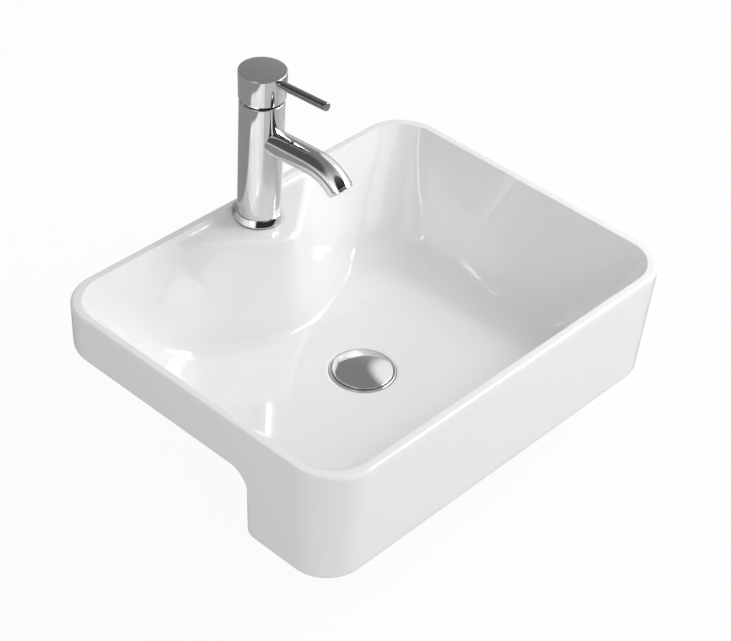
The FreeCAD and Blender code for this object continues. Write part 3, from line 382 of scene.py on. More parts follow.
def resampled(x, y, z, count):
    """Points at even steps along a line, closer where it bends."""
    step = np.sqrt(np.diff(x) ** 2 + np.diff(y) ** 2 + np.diff(z) ** 2)
    d = np.stack([np.diff(x), np.diff(y), np.diff(z)], 1) / step[:, None]
    bend = np.zeros(len(step))
    bend[1:] = np.arccos(np.clip((d[1:] * d[:-1]).sum(1), -1.0, 1.0))
    bend = np.convolve(bend, np.ones(BEND_SPREAD) / BEND_SPREAD, "same")
    along = np.concatenate([[0.0], np.cumsum(step + bend * BEND_WEIGHT)])
    wanted = np.linspace(0.0, along[-1], count)
    return [np.interp(wanted, along, values) for values in (x, y, z)]


# %% [markdown]
# ## Up the inside and down the outside
# Round the drain the ceramic has a flat seat for the flange, with lips that the glaze rounds. From
# there the line goes over the dished floor and up the wall to the rim, and then over the rim's edge
# and down the outside to the lower edge. The outside is straight lines and quarter circles, so its
# points are placed directly.

# %% From the drain to the rim
RIM_EDGE = 3.2
DISH_FLOOR = FLOOR - DISH
INNER_SAMPLES, INNER_POINTS = 620, 84
# The flange's seat with its lips rounded, as (radius, height) from the drain outwards.
SEAT = np.array([
    (DRAIN, FLANGE_SEAT - 0.3), (DRAIN + 0.3, FLANGE_SEAT - 0.05), (DRAIN + 1.0, FLANGE_SEAT),
    (30.0, FLANGE_SEAT), (FLANGE_RECESS - 0.6, FLANGE_SEAT), (FLANGE_RECESS, FLANGE_SEAT + 0.5),
    (FLANGE_RECESS + 0.25, DISH_FLOOR - 0.35), (FLANGE_RECESS + 0.9, DISH_FLOOR),
])


def inner_line(x, y, nx, ny):
    """From the drain to the flat of the rim."""
    end = np.array([x - nx * RIM_EDGE, y - ny * RIM_EDGE])
    reach = np.hypot(*end)
    ux, uy = end / reach
    seat = (SEAT[:, 0] * ux, SEAT[:, 0] * uy, SEAT[:, 1])
    radii = np.linspace(SEAT[-1, 0], reach, INNER_SAMPLES)
    px, py = radii * ux, radii * uy
    line = resampled(px, py, top_height(px, py), INNER_POINTS)
    return [np.concatenate([a, b[1:]]) for a, b in zip(seat, line)]


front_line = inner_line(0.0, FRONT, 0.0, -1.0)
print("points from the drain to the rim:", len(front_line[0]))

# %% From the rim to the lower edge
QUARTER_TURN = np.linspace(0.0, math.pi / 2, 7)[1:]
WALL_POINTS = 18


def outer_line(x, y, nx, ny, bottom):
    """Over the rim's outer edge, down the wall and round the lower edge."""
    by, bz, ty, tz, on_step = bottom
    sine, cosine = np.sin(QUARTER_TURN), np.cos(QUARTER_TURN)
    px = x - nx * RIM_EDGE + nx * RIM_EDGE * sine
    py = y - ny * RIM_EDGE + ny * RIM_EDGE * sine
    pz = RIM - RIM_EDGE + RIM_EDGE * cosine
    wall_y = by - LOWER_EDGE * ty if on_step else y
    wall_z = bz - LOWER_EDGE * tz if on_step else bz + LOWER_EDGE
    share = np.linspace(0.0, 1.0, WALL_POINTS)[1:]
    wz = pz[-1] + (wall_z - pz[-1]) * share
    lean = drawn_in(nx, ny, wz) - drawn_in(nx, ny, pz[-1]) * (1.0 - share)
    wx = x - nx * lean
    wy = y + (wall_y - y) * share - ny * lean
    rx = wx[-1] - nx * LOWER_EDGE + nx * LOWER_EDGE * cosine
    ry = wy[-1] - ny * LOWER_EDGE + ny * LOWER_EDGE * cosine + LOWER_EDGE * ty * sine
    rz = wall_z + LOWER_EDGE * tz * sine
    return [np.concatenate(parts) for parts in ((px, wx, rx), (py, wy, ry), (pz, wz, rz))]


front_wall = outer_line(0.0, FRONT, 0.0, -1.0, bottoms[0])
print("points from the rim to the lower edge:", len(front_wall[0]))

# %% [markdown]
# ## Back under the bowl
# Under a basin like this a wall of even thickness follows the bowl, and behind the skirt it is
# hollow. The line starts inside the skirt and goes up to the hollow's ceiling. It then runs square to
# the rim as far as an elbow, and from there straight to the drain. The two parts have their own
# points. One shared row of points would put long thin faces in the step's riser, and they would come
# through the bowl's walls.

# %% Underside and sections
RISE_POINTS, RUN_POINTS, RUN_SAMPLES = 16, 61, 400
ELBOW_REACH = 60.0


def plan_line(start, elbow, end, count):
    """Points at even steps along two straight runs, seen from above."""
    first = np.hypot(*(elbow - start))
    second = np.hypot(*(end - elbow))
    knots = [0.0, first, first + second]
    s = np.linspace(0.0, first + second, count)
    return [np.interp(s, knots, [start[k], elbow[k], end[k]]) for k in range(2)]


def under_line(x, nx, ny, bottom, last):
    """From the skirt's lower edge, up inside it and back under the bowl to the drain."""
    bz, on_step = bottom[1], bottom[4]
    rise = np.linspace(0.0, 1.0, RISE_POINTS)
    if on_step:
        start = np.array([x - nx * SKIRT_WALL, last[1]])
        wx = last[0] + (start[0] - last[0]) * rise
        wy, wz = np.full_like(rise, last[1]), np.full_like(rise, last[2])
    else:
        start = np.array(last[:2]) - (SKIRT_WALL - LOWER_EDGE) * np.array([nx, ny])
        top = min(float(under_height(start[:1], start[1:])[0]), LEDGE_TOP - LEDGE_WALL)
        wz = bz + (top - bz) * rise
        lean = float(drawn_in(nx, ny, bz)) - drawn_in(nx, ny, wz)
        wx, wy = start[0] + nx * lean, start[1] + ny * lean
    elbow = start - ELBOW_REACH * np.array([nx, ny])
    drain_edge = elbow / np.hypot(*elbow) * DRAIN
    px, py = plan_line(np.array([wx[-1], wy[-1]]), elbow, drain_edge, RUN_SAMPLES)
    px, py, pz = resampled(px, py, under_height(px, py), RUN_POINTS)
    if on_step:
        pz = np.minimum(pz, last[2])
    return [np.concatenate([wall, run[1:]]) for wall, run in ((wx, px), (wy, py), (wz, pz))]


sections = []
for (x, y), nx, ny, bottom in zip(outline, normal_x, normal_y, bottoms):
    inner = inner_line(x, y, nx, ny)
    outer = outer_line(x, y, nx, ny, bottom)
    under = under_line(x, nx, ny, bottom, [values[-1] for values in outer])
    sections.append(np.stack([np.concatenate(parts) for parts in zip(inner, outer, under)], 1))
sections = np.array(sections)
print("points:", sections.shape)

# %% [markdown]
# ## The basin's mesh
# The grid closes both ways, so the glaze is one closed skin without a seam. The tap's hole goes
# through the ledge, and the clay is punched there before it is fired, so the hole is cut with a
# Boolean modifier, and the result is kept as a plain mesh. The piece then stands for the three solids
# of the ceramic.

# %% Basin mesh
TAP_HOLE, HOLE_LOW, HOLE_HIGH, HOLE_SIDES = 17.5, 20.0, 60.0, 64


def baked(piece):
    """The piece with its modifiers worked out and gone."""
    graph = bpy.context.evaluated_depsgraph_get()
    mesh = bpy.data.meshes.new_from_object(piece.evaluated_get(graph))
    piece.modifiers.clear()
    old = piece.data
    piece.data = mesh
    bpy.data.meshes.remove(old)
    return piece


def tube_points(centre, radius, low, high, count):
    """Two rings of points, one above the other."""
    turns = np.linspace(0.0, 2.0 * math.pi, count, endpoint=False)
    ring = [(centre[0] + radius * math.cos(t), centre[1] + radius * math.sin(t)) for t in turns]
    return [(px, py, low) for px, py in ring] + [(px, py, high) for px, py in ring]


rows, columns = sections.shape[:2]
basin = mesh_piece("basin_glazed", sections.reshape(-1, 3) * MM, grid_faces(rows, columns, True, True))
hole_points = np.array(tube_points((0.0, TAP_Y), TAP_HOLE, HOLE_LOW, HOLE_HIGH, HOLE_SIDES)) * MM
hole_faces = grid_faces(2, HOLE_SIDES, False, True)
hole_faces += [tuple(range(HOLE_SIDES))[::-1], tuple(range(HOLE_SIDES, 2 * HOLE_SIDES))]
hole = mesh_piece("tap_hole_cutter", hole_points, hole_faces, smooth=False)
drill = basin.modifiers.new("tap_hole", "BOOLEAN")
drill.operation = "DIFFERENCE"
drill.solver = "EXACT"
drill.object = hole
bpy.context.view_layer.update()
baked(basin)
bpy.data.objects.remove(hole)
basin.data.shade_smooth()
crisp(basin, GLAZE_ANGLE)
print("basin:", len(basin.data.vertices), "points,", len(basin.data.polygons), "faces")

# %% [markdown]
# ## Lathe and sweep helpers
# Most of the tap is turned work. A profile of (radius, height) pairs is rounded at the corners that
# a polishing wheel would soften, and is then spun about the piece's axis. A profile that starts
# and ends on the axis gives a closed skin. A bent tube can't be spun, so its rings are set one after
# another square to a path. The Screw modifier or a curve with a bevel could do the same, but plain
# points keep every edge where the profile puts it.

# %% Turned and swept pieces
ROUND_SHARE = 0.48


def softened(profile, radii, steps=5):
    """A profile whose corners are rounded: one radius for each corner, nought for a sharp one."""
    points = []
    count = len(profile)
    for i, (corner, radius) in enumerate(zip(profile, radii)):
        if radius <= 0.0 or i in (0, count - 1):
            points.append(corner)
            continue
        here = np.array(corner, float)
        before = np.array(profile[i - 1], float) - here
        after = np.array(profile[i + 1], float) - here
        before_size, after_size = np.hypot(*before), np.hypot(*after)
        before, after = before / before_size, after / after_size
        half = 0.5 * math.acos(float(np.clip(before @ after, -1.0, 1.0)))
        run = min(radius / math.tan(half), ROUND_SHARE * before_size, ROUND_SHARE * after_size)
        start, end = here + before * run, here + after * run
        for t in np.linspace(0.0, 1.0, steps + 1):
            points.append(tuple(start * (1 - t) ** 2 + here * 2 * t * (1 - t) + end * t * t))
    return points


def turned_piece(name, profile, centre, axis=(0.0, 0.0, 1.0), sides=128):
    """Spins a profile of (radius, height) about an axis through a centre, all in millimetres."""
    turn = Vector(axis).to_track_quat("Z", "Y").to_matrix()
    angles = np.linspace(0.0, 2.0 * math.pi, sides, endpoint=False)
    points = []
    for radius, up in profile:
        for t in angles:
            spot = turn @ Vector((radius * math.cos(t), radius * math.sin(t), up))
            points.append([(spot[k] + centre[k]) * MM for k in range(3)])
    piece = mesh_piece(name, points, grid_faces(len(profile), sides, False, True))
    return crisp(piece)


def swept_piece(name, centres, tangents, radii, side=(1.0, 0.0, 0.0), sides=96, degrees=40.0):
    """A round skin whose rings stand square to a path, each with its own radius."""
    across = Vector(side)
    points = []
    for centre, tangent, radius in zip(centres, tangents, radii):
        up = Vector(tangent).cross(across).normalized()
        for t in np.linspace(0.0, 2.0 * math.pi, sides, endpoint=False):
            spot = across * (radius * math.cos(t)) + up * (radius * math.sin(t))
            points.append([(spot[k] + centre[k]) * MM for k in range(3)])
    piece = mesh_piece(name, points, grid_faces(len(centres), sides, False, True))
    return crisp(piece, degrees)


def one_piece(name, *pieces):
    """Several meshes as one object."""
    made = bmesh.new()
    for piece in pieces:
        made.from_mesh(piece.data)
    mesh = bpy.data.meshes.new(name)
    made.to_mesh(mesh)
    made.free()
    for piece in pieces:
        bpy.data.objects.remove(piece)
    result = bpy.data.objects.new(name, mesh)
    scene.collection.objects.link(result)
    return result


# %% [markdown]
# ## The tap's column and foot
# The column widens very slightly towards its top and stands on a flat ring with a sloping shoulder.
# Inside its top is the seat of the cartridge. The spigot under it stands in the ledge's hole and
# carries the two threaded inlets. The real one is cast and then turned, so a turned profile gives its
# fine edges, and the inlets are bored with Boolean modifiers as a drill would bore them.

# %% Column and foot ring
TAP = (0.0, TAP_Y, LEDGE_TOP)
INLET_SIDE, INLET_BACK, INLET_LOW, INLET_BORE, INLET_DEPTH = 7.5, 5.5, -6.0, 4.5, 15.0
column_profile = softened(
    [(0, -5), (15.5, -5), (15.5, 8.5), (21.75, 8.5), (21.75, 9.6), (22.25, 136), (17.6, 136),
     (17.6, 106), (0, 106)],
    [0, 0.4, 0, 0.3, 3.0, 0.9, 0.3, 0, 0],
)
column = turned_piece("tap_column", column_profile, TAP)


def bored(piece, centre, axis, radius, length, sides=48):
    """Cuts a round hole into a piece; the hole starts at a centre and runs along an axis."""
    profile = [(0, 0), (radius, 0), (radius, length), (0, length)]
    cutter = turned_piece("bore_cutter", profile, centre, axis, sides)
    cut = piece.modifiers.new("bore", "BOOLEAN")
    cut.operation = "DIFFERENCE"
    cut.solver = "EXACT"
    cut.object = cutter
    bpy.context.view_layer.update()
    baked(piece)
    bpy.data.objects.remove(cutter)
    return piece


for x in (-INLET_SIDE, INLET_SIDE):
    inlet = (x, TAP_Y + INLET_BACK, LEDGE_TOP + INLET_LOW)
    bored(column, inlet, (0, 0, 1), INLET_BORE, INLET_DEPTH)
foot_ring = turned_piece("tap_foot_ring", softened(
    [(15.6, 1.2), (24.75, 1.2), (24.75, 2.2), (22.3, 8.4), (15.6, 8.4), (15.6, 1.2)],
    [0, 0.2, 0.6, 0.35, 0, 0],
), TAP)
print("column faces:", len(column.data.polygons))

# %% [markdown]
# ## The spout
# The spout is cast in one with the column, in the shape of a bent tube. It leaves the column almost
# level, bends down over a generous radius and ends square to its own axis. Its path is a straight
# run, an arc and a short straight end. The skin goes out along the path at the outer radius, rounds
# the mouth and comes back along the bore.

# %% Spout
LIFT, DROP = math.radians(3.0), math.radians(42.0)
SPOUT_HEIGHT, RUN, BEND, SPOUT_END = 95.2, 70.5, 48.0, 2.0


def spout_point(s):
    """Place and direction at a length along the spout's axis, in the tap's own frame."""
    rise, level = math.sin(LIFT), math.cos(LIFT)
    if s <= RUN:
        return (0.0, -s * level, SPOUT_HEIGHT + s * rise), (0.0, -level, rise)
    turn = min((s - RUN) / BEND, LIFT + DROP)
    rest = s - RUN - turn * BEND
    sine, cosine = math.sin(LIFT - turn), math.cos(LIFT - turn)
    y = -RUN * level - BEND * (rise - sine) - rest * cosine
    z = SPOUT_HEIGHT + RUN * rise - BEND * (level - cosine) + rest * sine
    return (0.0, y, z), (0.0, -cosine, sine)


SPOUT_LENGTH = RUN + BEND * (LIFT + DROP) + SPOUT_END
OUTER, MOUTH, BORE, ROUND = 13.0, 11.15, 9.5, 0.7
SPOUT_START, BORE_START, BORE_LAST, MOUTH_DEPTH, ON_AXIS = 6.0, 20.0, 12.0, 10.3, 0.01
# The way out along the outside and back along the bore, as (length along the axis, radius).
way = [(SPOUT_START, ON_AXIS)] + [(s, OUTER) for s in np.linspace(SPOUT_START, RUN, 12)]
way += [(s, OUTER) for s in np.linspace(RUN, SPOUT_LENGTH - ROUND, 34)[1:]]
for t in np.linspace(0.2, math.pi / 2, 5):
    way.append((SPOUT_LENGTH - ROUND + ROUND * math.sin(t), OUTER - ROUND + ROUND * math.cos(t)))
way += [(SPOUT_LENGTH, MOUTH), (SPOUT_LENGTH - MOUTH_DEPTH, MOUTH), (SPOUT_LENGTH - MOUTH_DEPTH, BORE)]
way += [(s, BORE) for s in np.linspace(SPOUT_LENGTH - BORE_LAST, BORE_START, 30)]
way += [(BORE_START, ON_AXIS)]
spots = [spout_point(s) for s, radius in way]
spout = swept_piece(
    "spout_tube",
    [(p[0], p[1] + TAP_Y, p[2] + LEDGE_TOP) for p, d in spots],
    [d for p, d in spots], [radius for s, radius in way],
)
tap_shell = one_piece("tap_shell", column, spout)
print("spout length:", round(SPOUT_LENGTH, 1), "mm")

# %% [markdown]
# ## The lever and its hub
# The hub is a low cup whose top edge is broken with a fine round. It turns and rocks on a polished
# dome, which shows as a bright line in the gap above the column. The lever is a plain rod with a
# rounded end that screws into the hub, just under its top. At the back of the hub a small plug closes
# the hole of the set screw. All of it is lathe work, so all of it is turned.

# %% Hub, dome and lever
hub_profile = softened(
    [(0, 150), (21.2, 150), (21.2, 139.5), (23.0, 139.5), (23.8, 168), (0, 168)],
    [0, 0.5, 0.2, 0.5, 1.0, 0], 6,
)
hub = turned_piece("hub_shell", hub_profile, TAP, sides=160)
SCREW_HEIGHT, SCREW_BORE, SCREW_START, SCREW_DEPTH, DOT_START = 155.0, 3.45, 19.9, 8.0, 19.8
screw_hole = (0.0, TAP_Y + SCREW_START, LEDGE_TOP + SCREW_HEIGHT)
bored(hub, screw_hole, (0, 1, 0), SCREW_BORE, SCREW_DEPTH)
crisp(hub)
DOME_CENTRE, DOME_OUTER, DOME_INNER, DOME_LOW, DOME_HIGH = 130, 20.2, 18.7, 6, 15


def dome_arc(radius, first, last):
    """A dome's profile from one height to another above its centre."""
    turns = np.linspace(math.acos(first / radius), math.acos(last / radius), 12)
    return [(radius * math.sin(t), DOME_CENTRE + radius * math.cos(t)) for t in turns]


dome_outer = dome_arc(DOME_OUTER, DOME_LOW, DOME_HIGH)
dome_inner = dome_arc(DOME_INNER, DOME_HIGH, DOME_LOW)
dome_shell = turned_piece("dome_shell", dome_outer + dome_inner + dome_outer[:1], TAP)

TILT = math.radians(86.5)
LEVER_AXIS = (0.0, -math.sin(TILT), math.cos(TILT))
LEVER_START, LEVER_HEIGHT = 15.0, 162.3
lever_rod = turned_piece("lever_rod", softened(
    [(0, -6), (3.0, -6), (3.0, 0.05), (4.25, 0.05), (4.25, 70), (0, 70)], [0, 0.4, 0, 0, 1.5, 0], 8,
), (0.0, TAP_Y - LEVER_START, LEDGE_TOP + LEVER_HEIGHT), LEVER_AXIS, sides=64)
index_dot = turned_piece(
    "index_dot", softened([(0, 0), (3.4, 0), (3.4, 3.5), (0, 3.5)], [0, 0.2, 0.5, 0]),
    (0.0, TAP_Y + DOT_START, LEDGE_TOP + SCREW_HEIGHT), (0, 1, 0), sides=48,
)
print("hub faces:", len(hub.data.polygons))

# %% [markdown]
# ## The mouth of the spout
# A lip closes the spout's end, and behind it sits the jet plate. Its ring of small jets repeats, so
# Geometry Nodes place it: a mesh circle gives the places, a short rounded collar is set on each, and
# the tree ends in Realize Instances and Set Material. The tree's inputs are set by identifier.

# %% Mouth pieces
tip, tip_way = spout_point(SPOUT_LENGTH)
TIP = (0.0, tip[1] + TAP_Y, tip[2] + LEDGE_TOP)
lip = turned_piece("mouth_lip", softened(
    [(9.3, -9.0), (11.1, -9.0), (11.1, 0.3), (12.3, 0.3), (12.3, 2.0), (8.7, 2.0), (8.7, 0.0),
     (9.3, 0.0), (9.3, -9.0)],
    [0, 0.2, 0, 0.1, 0.7, 0.6, 0.1, 0, 0],
), TIP, tip_way)
print("lip faces:", len(lip.data.polygons))

# %% Geometry Nodes helpers
def node_tree(name, inputs):
    """A Geometry Nodes tree with named number inputs and one geometry output."""
    tree = bpy.data.node_groups.new(name, "GeometryNodeTree")
    for label, kind in inputs:
        tree.interface.new_socket(label, in_out="INPUT", socket_type=kind)
    tree.interface.new_socket("Geometry", in_out="OUTPUT", socket_type="NodeSocketGeometry")
    return tree, tree.nodes.new("NodeGroupInput"), tree.nodes.new("NodeGroupOutput")


def grown(name, tree, values, centre=(0.0, 0.0, 0.0), axis=(0.0, 0.0, 1.0)):
    """Runs a tree on an empty mesh and keeps the result as a plain mesh, put in its place."""
    piece = bpy.data.objects.new(name, bpy.data.meshes.new(name))
    scene.collection.objects.link(piece)
    growth = piece.modifiers.new("growth", "NODES")
    growth.node_group = tree
    for item in tree.interface.items_tree:
        if item.item_type == "SOCKET" and item.in_out == "INPUT" and item.name in values:
            growth[item.identifier] = values[item.name]
    bpy.context.view_layer.update()
    baked(piece)
    turn = Vector(axis).to_track_quat("Z", "Y").to_matrix().to_4x4()
    piece.data.transform(Matrix.Translation(Vector(centre) * MM) @ turn)
    return piece


def ring_tree(material):
    """Collars set round a circle."""
    tree, given, out = node_tree("ring_of_collars", [
        ("Count", "NodeSocketInt"), ("Ring Radius", "NodeSocketFloat"),
        ("Collar Radius", "NodeSocketFloat"), ("Wire Radius", "NodeSocketFloat"),
    ])
    places = tree.nodes.new("GeometryNodeMeshCircle")
    circle = tree.nodes.new("GeometryNodeCurvePrimitiveCircle")
    wire = tree.nodes.new("GeometryNodeCurvePrimitiveCircle")
    sweep = tree.nodes.new("GeometryNodeCurveToMesh")
    onto = tree.nodes.new("GeometryNodeInstanceOnPoints")
    real = tree.nodes.new("GeometryNodeRealizeInstances")
    coated = tree.nodes.new("GeometryNodeSetMaterial")
    circle.inputs["Resolution"].default_value = 20
    wire.inputs["Resolution"].default_value = 8
    coated.inputs["Material"].default_value = material
    link = tree.links.new
    link(given.outputs["Count"], places.inputs["Vertices"])
    link(given.outputs["Ring Radius"], places.inputs["Radius"])
    link(given.outputs["Collar Radius"], circle.inputs["Radius"])
    link(given.outputs["Wire Radius"], wire.inputs["Radius"])
    link(circle.outputs["Curve"], sweep.inputs["Curve"])
    link(wire.outputs["Curve"], sweep.inputs["Profile Curve"])
    link(places.outputs["Mesh"], onto.inputs["Points"])
    link(sweep.outputs["Mesh"], onto.inputs["Instance"])
    link(onto.outputs["Instances"], real.inputs["Geometry"])
    link(real.outputs["Geometry"], coated.inputs["Geometry"])
    link(coated.outputs["Geometry"], out.inputs["Geometry"])
    return tree


# %% [markdown]
# ## Finishes
# Every finish is a node material on Object coordinates, which stay with the piece when it moves. A
# pattern is a noise, stretched where the real marks run one way. It can drive a colour, a roughness
# or a fine relief, which is how a clean surface still looks made and not drawn.

# %% Material helpers
def finish(name, colour, roughness, metallic=0.0, **sockets):
    """A material with one colour; other sockets are given by name, with _ for a space."""
    material = bpy.data.materials.new(name)
    material.use_nodes = True
    shader = material.node_tree.nodes["Principled BSDF"]
    shader.inputs["Base Color"].default_value = (*colour, 1.0)
    shader.inputs["Roughness"].default_value = roughness
    shader.inputs["Metallic"].default_value = metallic
    for label, value in sockets.items():
        shader.inputs[label.replace("_", " ")].default_value = value
    material.diffuse_color = (*colour, 1.0)
    return material


def pattern(material, scale, detail=3.0, stretch=(1.0, 1.0, 1.0)):
    """A noise on Object coordinates, stretched along an axis where the real marks are."""
    nodes, links = material.node_tree.nodes, material.node_tree.links
    place = nodes.new("ShaderNodeTexCoord")
    shift = nodes.new("ShaderNodeMapping")
    shift.inputs["Scale"].default_value = stretch
    noise = nodes.new("ShaderNodeTexNoise")
    noise.inputs["Scale"].default_value = scale
    noise.inputs["Detail"].default_value = detail
    links.new(place.outputs["Object"], shift.inputs["Vector"])
    links.new(shift.outputs["Vector"], noise.inputs["Vector"])
    return noise.outputs["Fac"]


NOISE_LOW, NOISE_HIGH = 0.3, 0.7


def vary(material, socket, value, low, high):
    """Drives a shader socket between two numbers or colours by a pattern."""
    nodes, links = material.node_tree.nodes, material.node_tree.links
    if isinstance(low, tuple):
        blend = nodes.new("ShaderNodeMix")
        blend.data_type = "RGBA"
        blend.inputs["A"].default_value = (*low, 1.0)
        blend.inputs["B"].default_value = (*high, 1.0)
        links.new(value, blend.inputs["Factor"])
        links.new(blend.outputs["Result"], nodes["Principled BSDF"].inputs[socket])
        return
    ramp = nodes.new("ShaderNodeMapRange")
    ramp.inputs["From Min"].default_value = NOISE_LOW
    ramp.inputs["From Max"].default_value = NOISE_HIGH
    ramp.inputs["To Min"].default_value = low
    ramp.inputs["To Max"].default_value = high
    links.new(value, ramp.inputs["Value"])
    links.new(ramp.outputs["Result"], nodes["Principled BSDF"].inputs[socket])


def relief(material, value, distance, strength=1.0):
    """Raises and lowers a surface by a pattern, without moving the mesh."""
    nodes, links = material.node_tree.nodes, material.node_tree.links
    bump = nodes.new("ShaderNodeBump")
    bump.inputs["Strength"].default_value = strength
    bump.inputs["Distance"].default_value = distance
    links.new(value, bump.inputs["Height"])
    links.new(bump.outputs["Normal"], nodes["Principled BSDF"].inputs["Normal"])


# %% [markdown]
# ## Glaze and metals
# The glaze is a white body under a clear, hard, very smooth coat, with the faint waviness that a fired
# glaze has. The chrome is a mirror with a trace of haze and very fine wiping marks. The lever's rod is
# brushed along its length, and its chrome has a much darker colour of its own: painted shade, which
# stands for the dark room that the rod mirrors. Brass and steel show the fine lines that a lathe leaves.

# %% Glaze and metals
glaze = finish("white_glaze", (0.90, 0.90, 0.895), 0.07, IOR=1.52)
vary(glaze, "Base Color", pattern(glaze, 9.0), (0.885, 0.885, 0.880), (0.905, 0.905, 0.900))
vary(glaze, "Roughness", pattern(glaze, 30.0), 0.05, 0.10)
relief(glaze, pattern(glaze, 22.0, 1.0), 0.00012, 0.25)

chrome = finish("mirror_chrome", (0.80, 0.80, 0.81), 0.05, 1.0)
vary(chrome, "Roughness", pattern(chrome, 60.0, 5.0, (1.0, 1.0, 0.25)), 0.035, 0.09)
vary(chrome, "Base Color", pattern(chrome, 35.0), (0.76, 0.76, 0.77), (0.84, 0.84, 0.85))

# Painted shade: the rod's chrome is much darker than the tap's to stand for the dark reflections on it;
# only its brushed streaks are real.
painted_dark_lever_chrome = finish("brushed_lever_chrome_painted_shade", (0.42, 0.42, 0.43), 0.16, 1.0)
vary(painted_dark_lever_chrome, "Roughness", pattern(painted_dark_lever_chrome, 240.0, 4.0, (1.0, 0.08, 1.0)), 0.11, 0.24)
lever_marks = pattern(painted_dark_lever_chrome, 260.0, 3.0, (1.0, 0.06, 1.0))
vary(painted_dark_lever_chrome, "Base Color", lever_marks, (0.34, 0.34, 0.35), (0.50, 0.50, 0.51))

brass = finish("turned_brass", (0.74, 0.58, 0.30), 0.3, 1.0)
vary(brass, "Roughness", pattern(brass, 260.0, 4.0, (0.2, 0.2, 1.0)), 0.22, 0.42)
vary(brass, "Base Color", pattern(brass, 40.0), (0.68, 0.52, 0.26), (0.78, 0.62, 0.34))

steel = finish("stainless_steel", (0.62, 0.62, 0.63), 0.32, 1.0)
vary(steel, "Roughness", pattern(steel, 300.0, 4.0, (0.15, 0.15, 1.0)), 0.24, 0.44)
relief(steel, pattern(steel, 900.0, 2.0, (0.1, 0.1, 1.0)), 0.00002, 0.4)
print("metals:", ", ".join(metal.name for metal in (chrome, painted_dark_lever_chrome, brass, steel)))

# %% [markdown]
# ## Rubber, plastics and disc ceramic
# The seals are matt black rubber and the cartridge's parts are moulded plastic with a fine grain. The
# two discs that cut off the water are lapped flat and gleam. Hardly any of this shows on the standing
# basin, but it shows when a reader takes the tap apart, so each slot of the record has its finish, and
# the solids that stay as they are get theirs here.

# %% Rubber, plastics and disc ceramic
rubber = finish("seal_rubber", (0.035, 0.035, 0.037), 0.62)
vary(rubber, "Roughness", pattern(rubber, 120.0), 0.52, 0.74)
relief(rubber, pattern(rubber, 700.0, 3.0), 0.00004, 0.5)

white_plastic = finish("white_plastic", (0.80, 0.80, 0.78), 0.42)
vary(white_plastic, "Roughness", pattern(white_plastic, 180.0), 0.36, 0.5)
relief(white_plastic, pattern(white_plastic, 1500.0, 2.0), 0.00001, 0.5)

grey_plastic = finish("grey_plastic", (0.33, 0.34, 0.36), 0.4)
vary(grey_plastic, "Roughness", pattern(grey_plastic, 180.0), 0.34, 0.5)
relief(grey_plastic, pattern(grey_plastic, 1500.0, 2.0), 0.00001, 0.5)

disc_ceramic = finish("polished_disc", (0.82, 0.79, 0.72), 0.12)
vary(disc_ceramic, "Base Color", pattern(disc_ceramic, 400.0), (0.78, 0.75, 0.68), (0.86, 0.83, 0.77))

FINISH_OF_SLOT = {
    "glaze": glaze, "chrome": chrome, "seal_rubber": rubber, "cartridge_plastic": white_plastic,
    "grey_plastic": grey_plastic, "disc_ceramic": disc_ceramic, "brass": brass, "steel": steel,
}
slot_of_node = {part["node"]: part["material_slot"] for part in frame["record"]["subparts"]}
for name, node in frame["nodes"].items():
    node.data.materials.clear()
    node.data.materials.append(FINISH_OF_SLOT[slot_of_node[name]])
print("finishes:", len(FINISH_OF_SLOT))

# %% [markdown]
# ## The waste
# In the floor lies the chrome flange, a thin ring round a shallow dome that clicks up and down. Both
# are turned pieces. The dome's crown is part of a large sphere, and the sphere's radius follows from
# how wide and how high the dome is.

# %% Flange, tail and dome
FLANGE_TOP = -61.0
tail_profile = softened(
    [(18, -76), (19.9, -76), (20.1, -75), (20.1, -36), (19.9, -34), (20.1, -2.5), (33, -2.5),
     (33, 0), (30.8, 0), (30.8, -1.2), (20, -1.2), (18, -3.2), (18, -76)],
    [0, 0.3, 0, 0.3, 0.3, 0, 0.2, 1.3, 0.35, 0.2, 0.8, 0.8, 0],
)
tail = turned_piece("waste_tail", tail_profile, (0.0, 0.0, FLANGE_TOP))
CAP_LOW, CAP_RADIUS, CAP_RISE, CAP_HEIGHT, CROWN_EDGE = -0.2, 30.2, 3.4, 4.8, 29.6
sphere_radius = (CAP_RADIUS ** 2 + CAP_RISE ** 2) / (2 * CAP_RISE)
crown = [(sphere_radius * math.sin(t), CAP_HEIGHT - sphere_radius * (1 - math.cos(t)))
         for t in np.linspace(math.asin(CROWN_EDGE / sphere_radius), 0.0, 24)]
underside = [(0, 3.3), (28.7, 0.0), (30.0, 0.0)]
edge_round = [(CAP_RADIUS, 0.2), (CAP_RADIUS, 0.9), (30.12, 1.2), (29.9, 1.42)]
cap_profile = [(radius, CAP_LOW + up) for radius, up in underside + edge_round + crown]
cap_dome = turned_piece("plug_dome", cap_profile, (0.0, 0.0, FLANGE_TOP), sides=160)
print("radius of the plug's crown:", round(sphere_radius, 1), "mm")

# %% [markdown]
# ## Threads and jets
# The tail under the basin, its nut and the tap's stud carry threads. A real thread is a ridge along a
# helix, so one Geometry Nodes tree sweeps a small circle along a spiral, and each thread gives it its
# own turns, radius and height. The jets are made here too, since their tree needs a finish.

# %% Threads and jets
THREAD_RADIUS, THREAD_RIDGE, STUD_RADIUS, STUD_RIDGE = 20.05, 0.85, 3.7, 0.3


